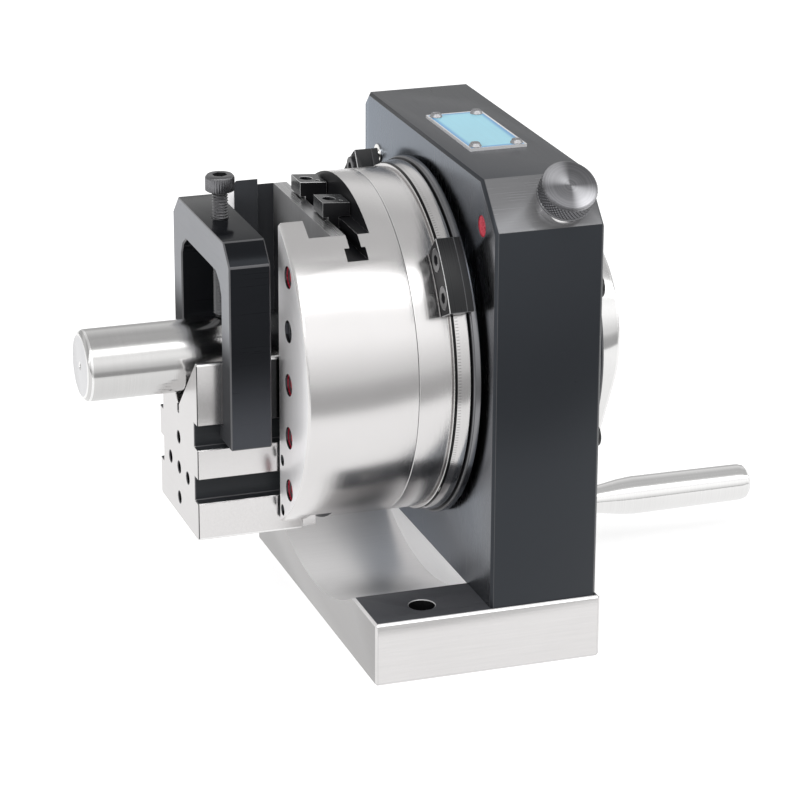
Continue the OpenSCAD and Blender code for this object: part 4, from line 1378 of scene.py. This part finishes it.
@dataclass
class Clamp:
    """The yoke over the punch, its screw, and the punch itself."""

    yoke_edge: float = 0.35
    punch_edge: float = 0.3
    steps: int = 144
    head_to_thread: float = 1.8
    pitch: float = 0.7
    thread_deep: float = 0.4
    rows_a_turn: int = 8
    tip_high: float = 0.6
    tip_in: float = 0.5
    neck_in: float = 0.1
    head_high: float = 4.0
    teeth: int = 36
    tooth_deep: float = 0.16
    # the head's lower rim, and the crown over its knurling as depths under the top and steps inwards
    rim_high: float = 0.2
    rim_in: float = 0.35
    knurl_end: float = 0.75
    crown: Outline = ((0.45, 0.1), (0.0, 0.5))
    socket_across: float = 3.0
    socket_deep: float = 2.2
    mouth_wider: float = 0.3
    mouth_deep: float = 0.15

    def build(self) -> None:
        """Dresses each piece."""
        yoke = Workpiece("yoke").coat(SATIN, BLACK_EDGE, looks_forward)
        yoke.coat(YOKE_SIDE_LIT, BLACK_EDGE, looks_sideways)
        yoke.break_edges(self.yoke_edge).finish(YOKE_BLACK, BLACK_EDGE)
        punch = Workpiece("punch").coat(PUNCH_END, BRIGHT_EDGE, looks_forward)
        punch.break_edges(self.punch_edge).finish(TURNED_PUNCH, BRIGHT_EDGE)
        self.cut_screw()

    def cut_screw(self) -> None:
        """A cap screw with its thread, its knurled head and its socket cut."""
        low, high = (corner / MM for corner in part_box("clamp_screw"))
        outer, top = (high.x - low.x) / 2, high.z
        thread = outer / self.head_to_thread
        under = top - self.head_high
        step = self.pitch / self.rows_a_turn
        rows = int((under - low.z - self.tip_high) / step)
        in_thread, in_knurl, in_crown, in_socket = range(4)
        rings = plain_rings(in_thread, [(low.z, thread - self.tip_in)])
        for k in range(rows + 1):
            height = low.z + self.tip_high + k * step
            rings.append((height, thread_row(height, thread, self.pitch, self.thread_deep), in_thread))
        rings += plain_rings(in_thread, [(under, thread - self.neck_in)])
        tooth = straight_knurl(outer, self.tooth_deep, self.teeth)
        rings += plain_rings(in_knurl, [(under, outer - self.rim_in)])
        rings += [(under + self.rim_high, tooth, in_knurl), (top - self.knurl_end, tooth, in_crown)]
        rings += plain_rings(in_crown, [(top - deep, outer - inwards) for deep, inwards in self.crown])
        socket = hexagon(self.socket_across)
        rings += [(top, hexagon(self.socket_across + self.mouth_wider), in_socket),
                  (top - self.mouth_deep, socket, in_socket), (top - self.socket_deep, socket, in_socket)]
        screw = Spun(CLAMP, self.steps).form(rings)
        show(screw.bm, "clamp_screw", [BLACK_THREAD, KNURLED_BLACK, GREY_HEAD, BLACK_BORE])


class Side(Enum):
    """The two sides that a pair of stops stands on."""

    NEAR = "near"
    FAR = "far"


@dataclass
class Stops:
    """One slot stop and one ring dog of a side."""

    side: Side
    stop_edge: float = 0.25
    dog_edge: float = 0.15

    def build(self) -> None:
        """Dresses each piece."""

        def behind_front(c: Vector, n: Vector) -> bool:
            """All of a dog but its front."""
            return not looks_forward(c, n)

        side = self.side.value
        stop = Workpiece(f"{side}_slot_stop").coat(BLACK_SLOT, RUBBED_EDGE, looks_sideways)
        stop.break_edges(self.stop_edge).finish(BLACK_STOP, RUBBED_EDGE)
        dress((f"{side}_slot_screw", f"{side}_dog_screws"), SMALL_EDGE_MM, BLACK_SCREW, BLACK_EDGE)
        dog = Workpiece(f"{side}_dog").coat(BLACK_DOG, BLACK_EDGE, behind_front)
        dog.break_edges(self.dog_edge).finish(BLACK_DOG_FRONT, RUBBED_EDGE)
        dress((f"{side}_dog_keeper",), SMALL_EDGE_MM, BLACK_DOG, BLACK_EDGE)


@dataclass
class IndexPin:
    """The pin that drops into the index plate, with its knurled knob."""

    teeth: int = 46
    steps_a_tooth: int = 4
    tooth_deep: float = 0.32
    knurl_turn: float = 0.75
    row_step: float = 0.16
    band: float = 1.3
    # the smooth band: how far in it lies, how high its lower rim ends, and the groove under the knurling
    band_in: float = 0.1
    band_rim: float = 0.45
    low_chamfer: float = 0.5
    groove_in: float = 0.4
    groove_start: float = 0.25
    groove_floor: float = 0.15
    # the top: the rim over the knurling, the chamfer, and the rings of the faced end
    chamfer: float = 0.7
    rim_high: float = 0.15
    rim_in: float = 0.15
    round_high: float = 0.1
    round_in: float = 0.25
    face_share: float = 0.3
    centre_radius: float = 0.3
    bore_radius: float = 6.0
    bore_deep: float = 3.9
    smooth_degrees: float = 12.0

    def build(self) -> None:
        """Dresses each piece."""
        dress(("index_pin",), FINE_EDGE_MM, TURNED, BRIGHT_EDGE)
        self.cut_knob()

    def cut_knob(self) -> None:
        """A knob with crossed knurling over a smooth band, and a turned top."""
        low, high = (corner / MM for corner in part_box("index_knob"))
        radius = (high.x - low.x) / 2
        # the node's box is of a cylinder that leans 45 degrees, less what its two chamfers cut off it
        length = (high.y - low.y) * math.sqrt(2.0) - 2.0 * radius + self.chamfer + self.low_chamfer
        bottom, top = -length / 2, length / 2
        start, end = bottom + self.band, top - self.chamfer
        on_top, in_band, in_bore, in_knurl = range(4)
        face_radius = radius - self.chamfer
        rings = plain_rings(
            in_bore, [(bottom + self.bore_deep, self.bore_radius), (bottom, self.bore_radius)])
        rings += plain_rings(in_band, [
            (bottom, radius - self.low_chamfer), (bottom + self.band_rim, radius - self.band_in),
            (start - self.groove_start, radius - self.band_in),
            (start - self.groove_floor, radius - self.groove_in), (start, radius - self.groove_in)])
        rows = round((end - start) / self.row_step)
        for k in range(rows + 1):
            height = start + (end - start) * k / rows
            turn = (height - start) / radius * self.knurl_turn
            rings.append((height, diamond_knurl(radius, self.tooth_deep, self.teeth, turn), in_knurl))
        rings += plain_rings(on_top, [
            (end + self.rim_high, radius - self.rim_in), (top - self.round_high, face_radius),
            (top, face_radius - self.round_in), (top, radius * self.face_share), (top, self.centre_radius)])
        knob = Spun(PIN, self.teeth * self.steps_a_tooth).form(rings)
        show(knob.bm, "index_knob", [KNOB_TOP, KNOB_BAND, BLACK_BORE, KNURLED], self.smooth_degrees)


def main() -> None:
    """Builds the studio and the pieces in order."""
    logging.basicConfig(level=logging.INFO, format="%(message)s")
    for part in (Studio(), BaseAndHousing(), TurningHead(), Crank(), Slide(), Clamp(),
                 Stops(Side.NEAR), Stops(Side.FAR), IndexPin()):
        log.info("building %s", type(part).__name__)
        part.build()


if __name__ == "__main__":
    main()
